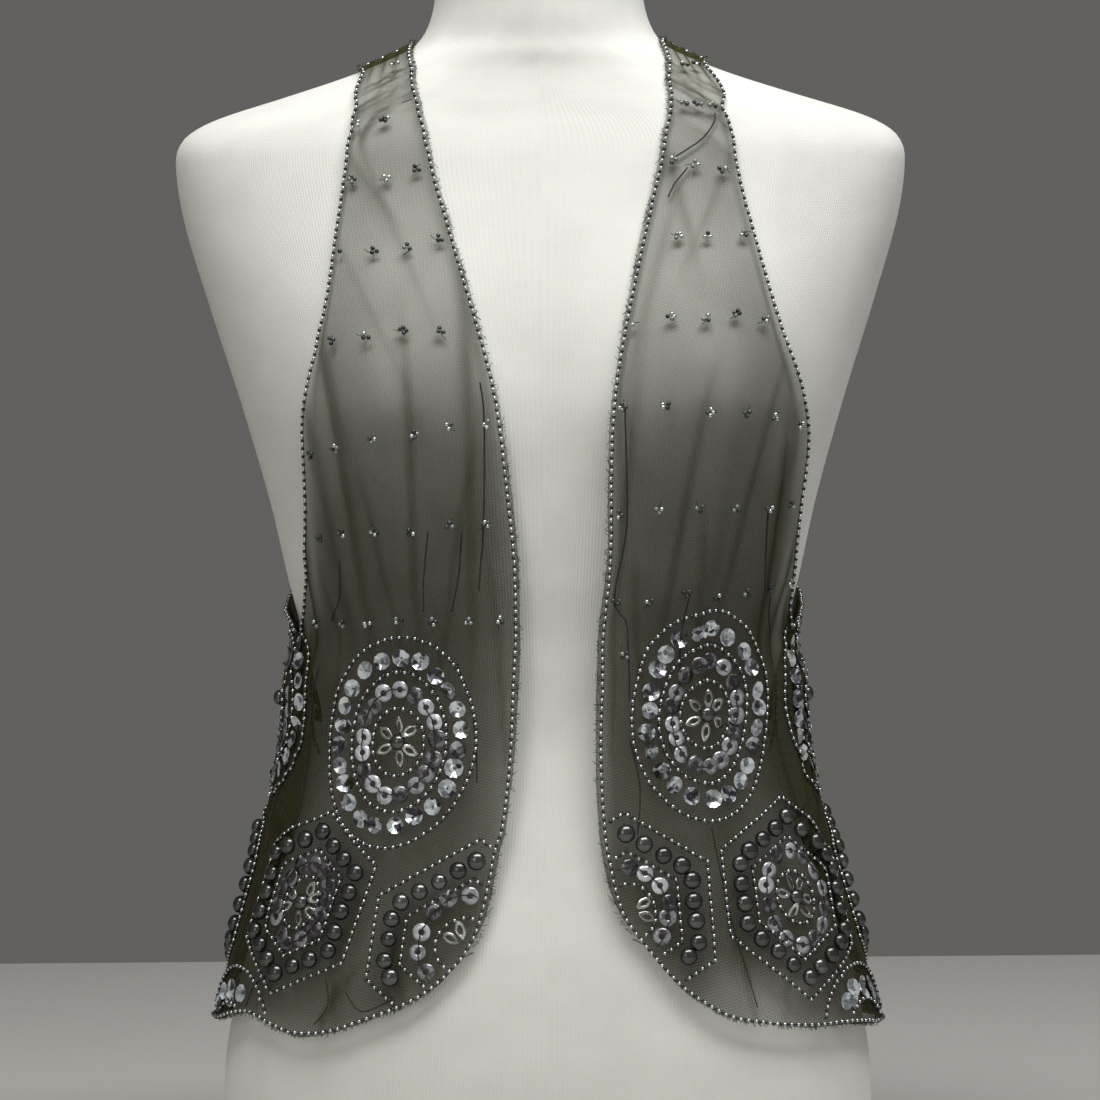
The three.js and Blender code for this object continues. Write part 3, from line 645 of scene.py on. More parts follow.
# %% Sequins, pearls and thread
def lustre(name, low, high, facets, roughness, metallic):
    """A finish that runs between two colours from piece to piece, and from facet to facet."""
    material, tree, shader = new_material(name, Roughness=roughness, Metallic=metallic)
    tone = add_node(tree, "ShaderNodeAttribute", attribute_name="tone").outputs["Fac"]
    spot = add_node(tree, "ShaderNodeTexCoord").outputs["Object"]
    cloudy = use_group(tree, uneven, {"Vector": spot, "Size": 220.0, "Low": -0.18, "High": 0.18})[0]
    mix = add_node(tree, "ShaderNodeMix", data_type="RGBA", clamp_factor=True)
    cells = add_node(tree, "ShaderNodeTexVoronoi", {"Vector": spot, "Scale": 260.0}).outputs["Color"]
    cell = sums(tree, "SUBTRACT", add_node(tree, "ShaderNodeSeparateColor", {0: cells}).outputs[0], 0.5)
    patchy = sums(tree, "ADD", cloudy, sums(tree, "MULTIPLY", cell, facets))
    tree.links.new(sums(tree, "ADD", tone, patchy), mix.inputs["Factor"])
    mix.inputs["A"].default_value = (*low, 1)
    mix.inputs["B"].default_value = (*high, 1)
    tree.links.new(mix.outputs["Result"], shader.inputs["Base Color"])
    return material


# Each film has its dark colour, its light colour, the strength of its facets, roughness and metal.
FILMS = {
    "cup_sequin_film": ((0.06, 0.06, 0.075), (0.88, 0.95, 1.0), 1.6, 0.12, 0.6),
    "ring_sequin_film": ((0.055, 0.05, 0.058), (0.85, 0.86, 0.93), 0.3, 0.16, 0.35),
    "dark_pearl": ((0.1, 0.102, 0.1), (0.2, 0.205, 0.2), 0.0, 0.2, 0.75),
    "silver_bugle": ((0.3, 0.3, 0.29), (0.85, 0.87, 0.84), 0.5, 0.2, 0.8),
    "black_thread": ((0.01, 0.01, 0.01), (0.03, 0.03, 0.03), 0.0, 0.7, 0.0),
}
cup_film, ring_film, pearl_film, silver_line, black_thread = (
    lustre(name, *values) for name, values in FILMS.items()
)

# %% Painted shade: darken the pearls towards their rims, in place of dark reflections there
pearl_tree = pearl_film.node_tree
pearl_base = pearl_tree.nodes["Principled BSDF"].inputs["Base Color"]
pearl_colour = pearl_base.links[0].from_socket
# Painted shade: the pearls' colour falls off towards their rims, by how much the surface faces away.
rim = add_node(pearl_tree, "ShaderNodeLayerWeight", {"Blend": 0.5}).outputs["Facing"]
limits = {"From Min": 0.1, "From Max": 0.75, "To Min": 1.0, "To Max": 0.1}
painted_rim_shade = add_node(pearl_tree, "ShaderNodeMapRange", {"Value": rim, **limits}).outputs[0]
pearl_colour_with_painted_rim_shade = add_node(
    pearl_tree, "ShaderNodeVectorMath", {0: pearl_colour, 1: painted_rim_shade}, operation="MULTIPLY"
)
pearl_tree.links.new(pearl_colour_with_painted_rim_shade.outputs[0], pearl_base)
print("materials", [m.name for m in bpy.data.materials if m.use_nodes])

# %% [markdown]
# ## The dress form
# A limbless display torso, hard inside and covered tightly with jersey. It starts as a flat grid that is
# rolled round the body's sections. Its seam is merged, and its base and the top of its neck are closed.

# %% A grid to lay on a surface
def select_none():
    if bpy.context.object and bpy.context.object.mode != "OBJECT":
        bpy.ops.object.mode_set(mode="OBJECT")
    bpy.ops.object.select_all(action="DESELECT")


def unit_grid(name, columns, rows):
    """A new grid, with the share of its width and of its height at each vertex."""
    select_none()
    bpy.ops.mesh.primitive_grid_add(x_subdivisions=columns, y_subdivisions=rows, size=1)
    piece = bpy.context.object
    piece.name = piece.data.name = name
    flat = vertices_of(piece)
    return piece, np.clip(flat[:, 0] + 0.5, 0, 1), np.clip(flat[:, 1] + 0.5, 0, 1)


def vertices_of(piece):
    flat = np.empty(len(piece.data.vertices) * 3)
    piece.data.vertices.foreach_get("co", flat)
    return flat.reshape(-1, 3)


def lay(piece, points, flat):
    """Puts the vertices at points in millimetres, and their flat places in millimetres in the UV map."""
    mesh = piece.data
    mesh.vertices.foreach_set("co", (points * MM).astype(np.float32).ravel())
    layer = mesh.uv_layers[0]
    layer.name = "cloth_mm"
    corners = np.empty(len(mesh.loops), int)
    mesh.loops.foreach_get("vertex_index", corners)
    layer.uv.foreach_set("vector", flat[corners].astype(np.float32).ravel())
    mesh.update()


def finish_piece(piece, material, smooth_it=True):
    """Gives a piece its finish and the body it rides on."""
    piece.data.materials.clear()
    piece.data.materials.append(material)
    for polygon in piece.data.polygons:
        polygon.use_smooth = smooth_it
    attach(piece, "root")
    return piece


# %% Roll the form
FORM_COLUMNS, FORM_ROWS = 168, 190
JERSEY_ROUND = 860  # millimetres of jersey round the form, which set the number of ribs
profile = np.linspace(0, FORM_RINGS["height"][-1], 1500)
reach = section(60.0, profile, "form")
along = lengths_along(reach)
form, s, t = unit_grid("jersey_form", FORM_COLUMNS, FORM_ROWS)
heights = np.interp(t * along[-1], along, profile)
flat_jersey = np.stack([s * JERSEY_ROUND, np.interp(heights, profile, along)], -1)
lay(form, section(360 * s, heights, "form"), flat_jersey)
bpy.ops.object.mode_set(mode="EDIT")
bpy.ops.mesh.select_all(action="SELECT")
bpy.ops.mesh.remove_doubles(threshold=1e-5)
bpy.ops.mesh.fill_holes(sides=0)
bpy.ops.mesh.select_all(action="SELECT")
bpy.ops.mesh.normals_make_consistent(inside=False)
bpy.ops.object.mode_set(mode="OBJECT")
bpy.ops.object.shade_smooth_by_angle(angle=math.radians(40))
finish_piece(form, jersey)
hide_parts("dress_form")
print("form faces", len(form.data.polygons))

# %% [markdown]
# ## The net panels
# Each panel is cut from sheer net and left raw outside its row of beads, so its edge is a little uneven.
# A grid is laid on the panel's surface with its soft folds, then given the net's real thinness with
# Solidify. A formula keeps it clear of the form; the folds are placed one by one, unequal in every way.

# %% Lay the net
NET_OFF = 0.9
RAGGED = (2, 0.16), (5, 0.12), (11, 0.07), (37, 0.03), (83, 0.03)
CUT_SHARE = 0.68
CORNER = {"share": 0.3, "length": 0.06}  # the raw margin narrows to this share at the hem's corners
CLOSENESS_AND_PAINTED_SHADE = {"crease": 2.2, "least": -0.6, "most": 1.4}


def ragged(share, seed):
    """How much of a margin is left on an uneven cut edge, along its length."""
    waves = np.random.default_rng(seed)
    parts = [np.sin(2 * np.pi * (share * n + waves.uniform())) * much for n, much in RAGGED]
    return CUT_SHARE * (1 + np.sum(parts, axis=0))


def speed(panel, u, v, du=0.0, dv=0.0):
    """Millimetres of cloth for a whole step of u or v, at a place on the panel."""
    ends = panel.point(u + du, v + dv, 0)[0] - panel.point(u, v, 0)[0]
    return np.linalg.norm(ends, axis=-1) / max(abs(du), abs(dv))


def past_sides(panel, v, seed):
    """The shares of u where the cloth is cut, beyond the first and the second long edge."""
    ends = []
    for u, side, step in ((0.0, "first", 0.02), (1.0, "second", -0.02)):
        margin = panel.margins[side](panel.place(u, v)[..., 1])
        narrow = CORNER["share"] + (1 - CORNER["share"]) * smoothstep(v / CORNER["length"])
        cut = ragged(v, seed + int(u)) * narrow
        margin = np.where(margin > 0, margin * cut, margin)
        ends.append(margin / speed(panel, np.full(np.shape(v), u), v, du=step))
    return ends


def net_piece(panel, columns, rows, seed):
    piece, s, t = unit_grid(panel.name + "_net", columns, rows)
    below = MARGIN["hem"] * ragged(s, seed + 2) / speed(panel, s, np.zeros_like(s), dv=0.01)
    above = panel.margins["top"] / speed(panel, s, np.ones_like(s), dv=-0.01)
    v = -below + t * (1 + below + above)
    first, second = past_sides(panel, np.clip(v, 0, 1), seed)
    u = -first + s * (1 + first + second)
    points = panel.point(u, v, NET_OFF)[0]
    wide = np.interp(v, panel.rows, panel.widths)
    lay(piece, points, np.stack([(u - 0.5) * wide, v * panel.length], -1))
    turn, height = np.moveaxis(panel.place(u, v), -1, 0)
    # Creases and gathers make the net denser: partly folded net, partly painted shade in the folds.
    closeness_and_painted_shade = relief(turn, height, CREASES) / CLOSENESS_AND_PAINTED_SHADE["crease"] + relief(turn, height, GATHERS_AND_PAINTED_SHADE)
    closeness_and_painted_shade = np.clip(closeness_and_painted_shade, CLOSENESS_AND_PAINTED_SHADE["least"], CLOSENESS_AND_PAINTED_SHADE["most"])
    gathered = piece.data.attributes.new("gathered", "FLOAT", "POINT")
    gathered.data.foreach_set("value", closeness_and_painted_shade.astype(np.float32))
    thin = piece.modifiers.new("thin", "SOLIDIFY")
    thin.thickness, thin.offset = WALL["net"] * MM, 0
    bpy.ops.object.modifier_apply(modifier=thin.name)
    finish_piece(piece, net)
    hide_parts(panel.name)
    return piece


GRIDS = (60, 230, 1), (60, 230, 5), (170, 190, 9)
nets = {panel.name: net_piece(panel, *grid) for panel, grid in zip(PANELS, GRIDS)}
print({name: len(piece.data.polygons) for name, piece in nets.items()})

# %% [markdown]
# ## One model of each small piece
# Thousands of beads are sewn on, all alike, so each kind is modelled once from a primitive and then
# copied to its places as one joined mesh. A bead has only a few dozen faces, because it is 2 mm long.

# %% Model each kind once
def as_model(shape=None):
    """Points in millimetres and faces of the piece just made, which is then put away."""
    piece = bpy.context.object
    points = vertices_of(piece)
    faces = [list(polygon.vertices) for polygon in piece.data.polygons]
    bpy.data.objects.remove(piece)
    return {
        "points": shape(points) if shape else points,
        "corners": np.concatenate(faces),
        "sides": np.array([len(face) for face in faces]),
    }


def ball(segments, rings, shape=None):
    select_none()
    bpy.ops.mesh.primitive_uv_sphere_add(segments=segments, ring_count=rings, radius=1)
    return as_model(shape)


def barrel(points):
    """A short bead that lies along X, with flattened ends."""
    ends = np.clip(points[:, 2], -0.95, 0.95)
    return np.stack([ends, points[:, 0], points[:, 1]], -1)


def washer(radii, heights, sides, thick):
    """A thin round piece from a few rings, closed on both faces, open in the middle."""
    select_none()
    bpy.ops.mesh.primitive_grid_add(x_subdivisions=sides, y_subdivisions=2 * len(radii), size=1)
    flat = vertices_of(bpy.context.object)
    angle = 2 * np.pi * (flat[:, 0] + 0.5)
    step = np.rint((flat[:, 1] + 0.5) * 2 * len(radii)).astype(int) % (2 * len(radii))
    ring = np.minimum(step, 2 * len(radii) - 1 - step)
    under = np.where(step < len(radii), 0, thick)
    r = np.array(radii, float)[ring]
    lifted = np.array(heights, float)[ring] + under
    points = np.stack([r * np.cos(angle), r * np.sin(angle), lifted], -1)
    return as_model(lambda _: points)


BEAD = ball(8, 4, barrel)
PEARL = ball(16, 10, lambda points: points * (1, 1, 0.74))
CUP = washer((0.6, 2.0, 4.9), (0.1, 0.0, 1.3), 10, 0.16)
RING = washer((1.7, 2.6, 4.7), (0.18, 0.0, 0.1), 18, 0.16)
LEAF = washer((0.5, 0.72, 1.0), (0.22, 0.0, 0.12), 16, 0.09)
LEAF["points"][:, 1] *= 1 - 0.5 * LEAF["points"][:, 0] ** 2
select_none()
bpy.ops.mesh.primitive_cylinder_add(vertices=5, radius=1, depth=1, end_fill_type="NOTHING")
THREAD = as_model(lambda p: np.stack([p[:, 2], p[:, 0], p[:, 1]], -1))
print({"bead": len(BEAD["sides"]), "pearl": len(PEARL["sides"]), "cup": len(CUP["sides"])})

# %% Copy a model to its places
def axes_of(out, along):
    """Three axes for each spot, as columns: along, across and out."""
    along = unit(along - out * (along * out).sum(-1, keepdims=True))
    return np.stack([along, np.cross(out, along), out], -1)


def copies(name, model, spots, axes, sizes, tones, material, flat=False):
    """One piece made of copies of a model, each with its own spot, axes, size and tone."""
    many, each = len(spots), len(model["points"])
    sizes = np.broadcast_to(np.reshape(sizes, (-1, 1)) if np.ndim(sizes) < 2 else sizes, (many, 3))
    local = model["points"][None] * sizes[:, None]
    points = np.einsum("nij,nmj->nmi", axes, local) + spots[:, None]
    mesh = bpy.data.meshes.new(name)
    mesh.vertices.add(many * each)
    mesh.vertices.foreach_set("co", (points * MM).astype(np.float32).ravel())
    corners = (model["corners"][None] + each * np.arange(many)[:, None]).ravel()
    sides = np.tile(model["sides"], many)
    mesh.loops.add(len(corners))
    mesh.loops.foreach_set("vertex_index", corners.astype(np.int32))
    mesh.polygons.add(len(sides))
    mesh.polygons.foreach_set("loop_start", np.concatenate([[0], np.cumsum(sides)[:-1]]).astype(np.int32))
    mesh.update(calc_edges=True)
    tone = mesh.attributes.new("tone", "FLOAT", "POINT")
    tone.data.foreach_set("value", np.repeat(np.broadcast_to(tones, many), each).astype(np.float32))
    piece = bpy.data.objects.new(name, mesh)
    bpy.context.collection.objects.link(piece)
    return finish_piece(piece, material, smooth_it=not flat)


# %% [markdown]
# ## Strands along the edges
# Every free edge has one row of seed beads, sewn on just inside the raw cut, silver and black in turn.
# The beads are spaced evenly by length along the row, and each is turned to follow it.

# %% Bead the edges
BEAD_PITCH, BEAD_OFF = 2.2, NET_OFF + WALL["net"] / 2 + 0.95


def beads_along(points, out):
    """Spots, axes and tones of beads strung evenly along a line of points."""
    along = lengths_along(points)
    count = max(2, round(along[-1] / BEAD_PITCH))
    stops = (np.arange(count) + 0.5) / count * along[-1]
    way = read_line(points, along, stops + 0.6) - read_line(points, along, stops - 0.6)
    facing = unit(read_line(out, along, stops))
    spots = read_line(points, along, stops) + np.cross(facing, unit(way)) * rng.normal(0, 0.09, (count, 1))
    return spots, axes_of(facing, way + rng.normal(0, 0.08, (count, 3))), np.arange(count) % 2


def edge_share(panel, u, height):
    """The v where a long edge passes this height."""
    v = np.linspace(0, 1, 2001)
    return np.interp(height, panel.place(np.full(2001, u), v)[..., 1], v)


def strand(name, panel, *lines):
    """One strand of beads along lines of (u, v) that run on from each other; it replaces the bare strand."""
    parts = [panel.point(u, v, BEAD_OFF) for u, v in lines]
    points, out = (np.concatenate([part[k] for part in parts]) for k in (0, 1))
    keep = np.concatenate([[True], np.linalg.norm(np.diff(points, axis=0), axis=1) > 1e-6])
    spots, axes, tones = beads_along(points[keep], out[keep])
    sizes = 1.12 - 0.12 * tones + rng.normal(0, 0.03, len(spots))
    piece = copies(name + "_beads", BEAD, spots, axes, sizes, tones, glass)
    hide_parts(name)
    return piece


many = np.linspace(0, 1, 700)
zero, one = np.zeros_like(many), np.ones_like(many)
for panel in PANELS[:2]:
    side = panel.name.split("_")[0]
    low = edge_share(panel, 1.0, SEAM_LEVELS["underarm"])
    strand(f"{side}_front_edging", panel, (zero, 1 - many), (many, zero))
    strand(f"{side}_armhole_edging", panel, (one, low + (1 - low) * many))
strand("back_hem_edging", back, (many, zero))
strand("back_neck_edging", back, (many, one))
NEAR_NECK = 0.997  # where the back's armhole strands stop, just short of the one at the neck
for name, u in (("back_right_armhole_edging", 0.0), ("back_left_armhole_edging", 1.0)):
    low = edge_share(back, u, SEAM_LEVELS["underarm"])
    strand(name, back, (np.full_like(many, u), low + (NEAR_NECK - low) * many))

# %% [markdown]
# ## Where embroidery can be sewn
# Motifs are planned whole and then cut off by the panel's edge, as on the real cloth. A bead is kept only
# where it lies on a panel and clear of every free edge. Seams between panels don't stop a motif.

# %% Find the panels and their free edges
def outline_of(panel):
    t = np.linspace(0, 1, 260)
    first, second = np.zeros(260), np.ones(260)
    sides = [(first, t[::-1]), (t, first), (second, t), (t[::-1], second)]
    return [panel.place(u, v) for u, v in sides]


OUTLINES = {panel.name: outline_of(panel) for panel in PANELS}
free = []
seam_top = SEAM_LEVELS["underarm"] - 2
for name, (first, hem, second, top) in OUTLINES.items():
    free += [hem, second[second[:, 1] > seam_top]]
    free += [first[first[:, 1] > seam_top], top] if name == "back" else [first]
FREE = np.concatenate([section(line[:, 0], line[:, 1], "cloth") for line in free])


def is_on(panel, places):
    """Whether each place is within a panel's outline, by the even and odd crossings of its edge."""
    edge = np.concatenate(OUTLINES[panel])
    after = np.roll(edge, -1, axis=0)
    turn = places[:, 0] % 360 if panel == "back" else places[:, 0]
    level = places[:, 1, None]
    crosses = (edge[:, 1] > level) != (after[:, 1] > level)
    rise = np.where(after[:, 1] == edge[:, 1], 1, after[:, 1] - edge[:, 1])
    where = edge[:, 0] + (level - edge[:, 1]) / rise * (after[:, 0] - edge[:, 0])
    return (crosses & (where > turn[:, None])).sum(1) % 2 == 1


free_points = kdtree.KDTree(len(FREE))
for i, p in enumerate(FREE):
    free_points.insert(p, i)
free_points.balance()


def edge_distance(places):
    return np.array([free_points.find(p)[2] for p in section(places[:, 0], places[:, 1], "cloth")])


print("points along the free edges", len(FREE))

# %% [markdown]
# ## Plan the motifs
# The photo shows large round motifs and six-sided ones along the hem, with parts of more rounds cut off
# by the hem. Each motif is planned flat in millimetres, then walked out on the cloth from its centre.
# A little seeded unevenness keeps them looking sewn by hand.

# %% Outlines in a motif's own flat frame
def oval(half, tall):
    angle = np.linspace(0, 2 * np.pi, 241)[:-1]
    shift, much = rng.uniform(0, 6, 2), rng.normal(0, 0.008, 2)
    uneven_by = 1 + much[0] * np.sin(2 * angle + shift[0]) + much[1] * np.sin(3 * angle + shift[1])
    return np.stack([half * np.sin(angle), tall * np.cos(angle)], -1) * uneven_by[:, None]


def hexagon(half, tall, side, inset=0.0):
    pitch = (tall - side) / half
    top, wide = tall - inset * math.hypot(1, pitch), half - inset
    low = top - pitch * wide
    return np.array([(0, top), (wide, low), (wide, -low), (0, -top), (-wide, -low), (-wide, low)])


def spaced(outline, pitch=None, count=None):
    """Even points round a closed outline, a given number of them or about a pitch apart."""
    closed = np.vstack([outline, outline[:1]])
    along = lengths_along(closed)
    count = count or 2 * round(along[-1] / pitch / 2)
    return read_line(closed, along, np.arange(count) / count * along[-1])


def lie(motif, flat):
    """Turn and height of points given across and up from a motif's centre, in millimetres."""
    lean = math.radians(motif["lean"])
    x = flat[:, 0] * math.cos(lean) + flat[:, 1] * math.sin(lean)
    y = -flat[:, 0] * math.sin(lean) + flat[:, 1] * math.cos(lean)
    return np.stack(walk(motif, x, y), -1)


# %% Sew pieces on, sorted by panel and kind
DULL = 2.2  # a power that leaves most pieces dull and a few bright
SEWN = {panel.name: {} for panel in PANELS}


def sew(kind, places, ahead, off, clear, sizes, tones, tilt=0.0):
    """Notes pieces of one kind at places on the cloth; `ahead` are places each piece points at."""
    spots, out = cloth(places[:, 0], places[:, 1], off)
    along = cloth(ahead[:, 0], ahead[:, 1], off)[0] - spots
    out = unit(out + rng.normal(0, 1, out.shape) * tilt)
    axes = axes_of(out, along)
    sizes = np.broadcast_to(np.reshape(sizes, (-1, 1)) if np.ndim(sizes) < 2 else sizes, spots.shape)
    tones = np.broadcast_to(tones, len(spots))
    far = edge_distance(places) > clear
    for name in SEWN:
        at = is_on(name, places) & far
        if at.any():
            SEWN[name].setdefault(kind, []).append((spots[at], axes[at], sizes[at], tones[at]))


def sew_round(motif, outline, kind, off, clear, size, tones, pitch=None, count=None, tilt=0.0, jitter=0.12):
    """Pieces of one kind spaced evenly round an outline of a motif."""
    flat = spaced(outline, pitch, count)
    flat = flat + rng.normal(0, jitter, flat.shape)
    sizes = size * rng.normal(1, 0.035, len(flat))
    places, ahead = lie(motif, flat), lie(motif, np.roll(flat, -1, axis=0))
    if tones is None:
        tones = np.arange(len(flat)) % 2
        sizes = sizes * (1.06 - 0.1 * tones)
    else:
        tones = rng.uniform(*tones, len(flat)) ** DULL * motif.get("bright", 1)
    sew(kind, places, ahead, off, clear, sizes, tones, tilt)


def thread_sizes(long, thick):
    return np.stack([long, np.full(len(long), thick), np.full(len(long), thick)], -1)


def sew_thread(line, off, thick, clear, motif=None):
    """A thread as short straight lengths end to end, along places or along a motif's flat line."""
    places = lie(motif, line) if motif else line
    spots = cloth(places[:, 0], places[:, 1], off)[0]
    middle = (places[1:] + places[:-1]) / 2
    long = np.linalg.norm(np.diff(spots, axis=0), axis=1) * 1.04
    sizes = thread_sizes(long, thick)
    sew("thread", middle, places[1:], off, clear, sizes, rng.uniform(0, 1, len(long)))


# %% [markdown]
# ## Round and six-sided motifs
# From outside in, a round has an outline of beads, cup sequins, an oval of beads, overlapping ring sequins
# held by a black thread, a small ring of beads and a flower of leaf sequins round a dark pearl. The
# six-sided motif has large dark pearls instead of cups. The back repeats them at the same spacing.

# %% Sew the motifs
BEAD_SIZE = 1.05
SURFACE = NET_OFF + WALL["net"] / 2


def sew_heart(motif, rings, ring_count, inner):
    """The middle of a motif: ring sequins with a thread through them, a ring of beads and a flower."""
    outline = oval(*rings)
    sew_round(motif, outline, "ring", SURFACE + 0.75, 5.4, 1, (0, 1), count=ring_count, tilt=0.09, jitter=0.7)
    loop = spaced(outline, count=4 * ring_count) + rng.normal(0, 0.35, (4 * ring_count, 2))
    sew_thread(np.vstack([loop, loop[:1]]), SURFACE + 1.35, 0.34, 3.0, motif)
    sew_round(motif, oval(*inner), "bead", BEAD_OFF, 2.6, BEAD_SIZE, None, pitch=2.45)
    petals = 6
    angle = rng.uniform(0, 1) + np.arange(petals) * 2 * np.pi / petals + rng.normal(0, 0.13, petals)
    way = np.stack([np.sin(angle), np.cos(angle)], -1)
    reach = rng.normal(8.6, 0.35, (petals, 1))
    places, ahead = lie(motif, way * reach), lie(motif, way * (reach + 0.5))
    sizes = np.tile((5.5, 2.9, 2.2), (petals, 1)) * rng.normal(1, 0.05, (petals, 1))
    sew("leaf", places, ahead, SURFACE + 0.5, 5.2, sizes, rng.uniform(0, 1, petals), tilt=0.16)
    centre = np.zeros((1, 2))
    sew("pearl", lie(motif, centre), lie(motif, centre + 0.5), SURFACE + 1.5, 5.4, 4.3, 0.5)


def sew_oval_motif(motif):
    wide, tall = motif["half"], motif["tall"]
    sew_round(motif, oval(wide, tall), "bead", BEAD_OFF, 2.8, BEAD_SIZE, None, pitch=2.2)
    cups = oval(wide - 8.2, tall - 11)
    sew_round(motif, cups, "cup", SURFACE + 0.35, 6.2, 1, (0.45, 1), count=23, tilt=0.18, jitter=0.6)
    middle = oval(wide - 15.4, tall - 19.4)
    sew_round(motif, middle, "bead", BEAD_OFF, 2.8, BEAD_SIZE * 1.06, None, pitch=2.45)
    sew_heart(motif, (wide - 21.7, tall - 28.5), 17, (14.7, 18.4))


def sew_hexagon(motif):
    shape = motif["half"], motif["tall"], motif["side"]
    sew_round(motif, hexagon(*shape), "bead", BEAD_OFF, 2.8, BEAD_SIZE, None, pitch=2.2)
    pearls = hexagon(*shape, HEXAGON_INSET["pearls"])
    count = int(motif["pearls"])
    sew_round(motif, pearls, "pearl", SURFACE + 2.6, 6.5, 4.85, (0, 1), count=count, jitter=0.25)
    inner = hexagon(*shape, HEXAGON_INSET["beads"])
    sew_round(motif, inner, "bead", BEAD_OFF, 2.8, BEAD_SIZE, None, pitch=2.3)
    wider, taller = motif["half"] - TYPICAL["half"], motif["tall"] - TYPICAL["tall"]
    sew_heart(motif, (19.8 + wider * 0.7, 24.5 + taller * 0.7), 14, (13 + wider * 0.4, 14.6))


def motifs(columns, *rows):
    return [dict(zip(columns.split(), row)) for row in rows]


HEXAGON_INSET = {"pearls": 9.5, "beads": 17.6}
TYPICAL = {"half": 44, "tall": 54}
OVALS = motifs(
    "turn height lean half tall",
    (-31.6, 261.5, 1.5, 42.7, 57),
    (35.2, 275, 9, 41, 57),
    (-86, 283, -2, 43, 56),
    (86, 283, 2, 43, 56),
    (138, 283, 1, 43, 56),
    (180, 281, 0, 43, 56),
    (222, 283, -1, 43, 56),
)
# Fans are rounds whose lower part the hem cuts off. They have a second row of cups.
FAN_CUPS = {"half": 29.5, "tall": 40, "count": 16}
FANS = motifs(
    "turn height lean half tall",
    (-71, 80, 0, 43, 56),
    (71, 80, 0, 43, 56),
    (124.5, 80, 0, 43, 56),
    (163.5, 78, 1, 43, 56),
    (196.5, 78, -1, 43, 56),
    (235.5, 80, 0, 43, 56),
)
HEXAGONS = motifs(
    "turn height lean half tall side pearls bright",
    (-51, 174, 8, 37, 51, 27, 20, 0.35),
    (-12.9, 153.6, 4, 51, 57, 22.5, 24, 1),
    (14, 171.1, 1.4, 43.5, 52.5, 26.5, 22, 1),
    (52.7, 174.5, 6.5, 43, 56.5, 24, 22, 1),
    (103, 172, 1, 44, 54, 27, 22, 1),
    (147, 169, 0, 44, 54, 27, 22, 1),
    (180, 167, 0, 44, 54, 27, 22, 1),
    (213, 169, 0, 44, 54, 27, 22, 1),
    (257, 172, -1, 44, 54, 27, 22, 1),
)
for motif in OVALS + FANS:
    sew_oval_motif(motif)
for motif in FANS:
    inner, count = oval(FAN_CUPS["half"], FAN_CUPS["tall"]), FAN_CUPS["count"]
    sew_round(motif, inner, "cup", SURFACE + 0.35, 5.2, 0.9, (0.5, 1), count=count, tilt=0.2, jitter=0.7)
for motif in HEXAGONS:
    sew_hexagon(motif)
for name, kinds in SEWN.items():
    print(name, {kind: sum(len(part[0]) for part in parts) for kind, parts in kinds.items()})

# %% [markdown]
# ## Scattered beads and loose threads
# Above the motifs lie level rows of small knots, each of a few beads and a wisp of thread. On the wrong
# side the thread runs on from knot to knot, and shows through the net as thin dark lines. The side and
# shoulder seams are closed with a thicker black thread. The net of the fronts is cut raw, so short fibres
# stick out along their front edges and hems.

# %% Sew the rows of knots
KNOTS = table(
    "first last low high count",
    (-44.8, -44.8, 627.5, 627.5, 1),
    (-25, -21, 596, 597, 2),
    (-20.8, -20.8, 604.6, 604.6, 1),
    (-24.5, -13.8, 561.5, 567.5, 3),
    (-29.4, -12.1, 522.5, 528.5, 4),
    (-35, -8.9, 477.5, 483.6, 5),
    (-47.2, -8.4, 416, 432, 6),
    (-50.4, -9.9, 373.5, 377, 6),
    (-58.5, -8, 326.5, 327.5, 7),
    (42.1, 47.3, 626.7, 625.1, 2),
    (21.8, 26.3, 604, 601.5, 3),
    (14.4, 23.7, 571.7, 567.3, 3),
    (17.6, 28.7, 529.7, 531.3, 3),
    (12.5, 37.5, 483, 488, 5),
    (12.6, 54.4, 439.9, 431.8, 6),
    (13, 57.6, 383.4, 387.4, 6),
    (14, 65, 337.5, 343.5, 7),
    (16.6, 16.6, 309.7, 309.7, 1),
    (86, 274, 322, 320, 15),
    (128, 232, 350, 352, 9),
    (140, 220, 386, 388, 7),
    (152, 208, 430, 428, 5),
    (160, 200, 478, 480, 4),
    (166, 194, 526, 524, 3),
    (165, 195, 572, 574, 3),
    (158, 202, 608, 608, 4),
)


def sew_knot(turn, height):
    spot = {"turn": turn, "height": height, "lean": rng.uniform(-180, 180)}
    beads = 3 + (rng.uniform() < 0.4)
    angle = np.arange(beads) * 2 * np.pi / beads + rng.normal(0, 0.25, beads)
    flat = np.stack([np.sin(angle), np.cos(angle)], -1) * rng.normal(1.55, 0.12, (beads, 1))
    lift = 1.3 if height > 590 and abs(turn) < 90 else 0.0
    places, ahead = lie(spot, flat), lie(spot, flat * 1.4 + rng.normal(0, 0.5, flat.shape))
    tones = rng.choice([0.0, 0.05, 0.35, 0.9], beads)
    sew("bead", places, ahead, BEAD_OFF + 0.15 + lift, 2.6, 1.32, tones, tilt=0.3)
    wisp = np.array([(0, 0), (rng.normal(0.4, 0.6), -2.4), (rng.normal(0, 1.2), -rng.uniform(3.4, 5.4))])
    sew_thread(wisp, SURFACE + 0.3 + lift, 0.2, 2.0, spot)


for first, last, low, high, count in zip(*KNOTS.values()):
    share = np.linspace(0, 1, 80)
    path = section(first + (last - first) * share, low + (high - low) * share, "cloth")
    length = lengths_along(path)
    reach = length / max(length[-1], 1e-9)
    even = np.interp(np.linspace(0, 1, int(count)), reach, share) if count > 1 else [0.5]
    for part in even:
        turn = first + (last - first) * part + rng.normal(0, 0.25)
        sew_knot(turn, low + (high - low) * part + rng.normal(0, 1.1))
print("rows of knots", len(KNOTS["first"]))

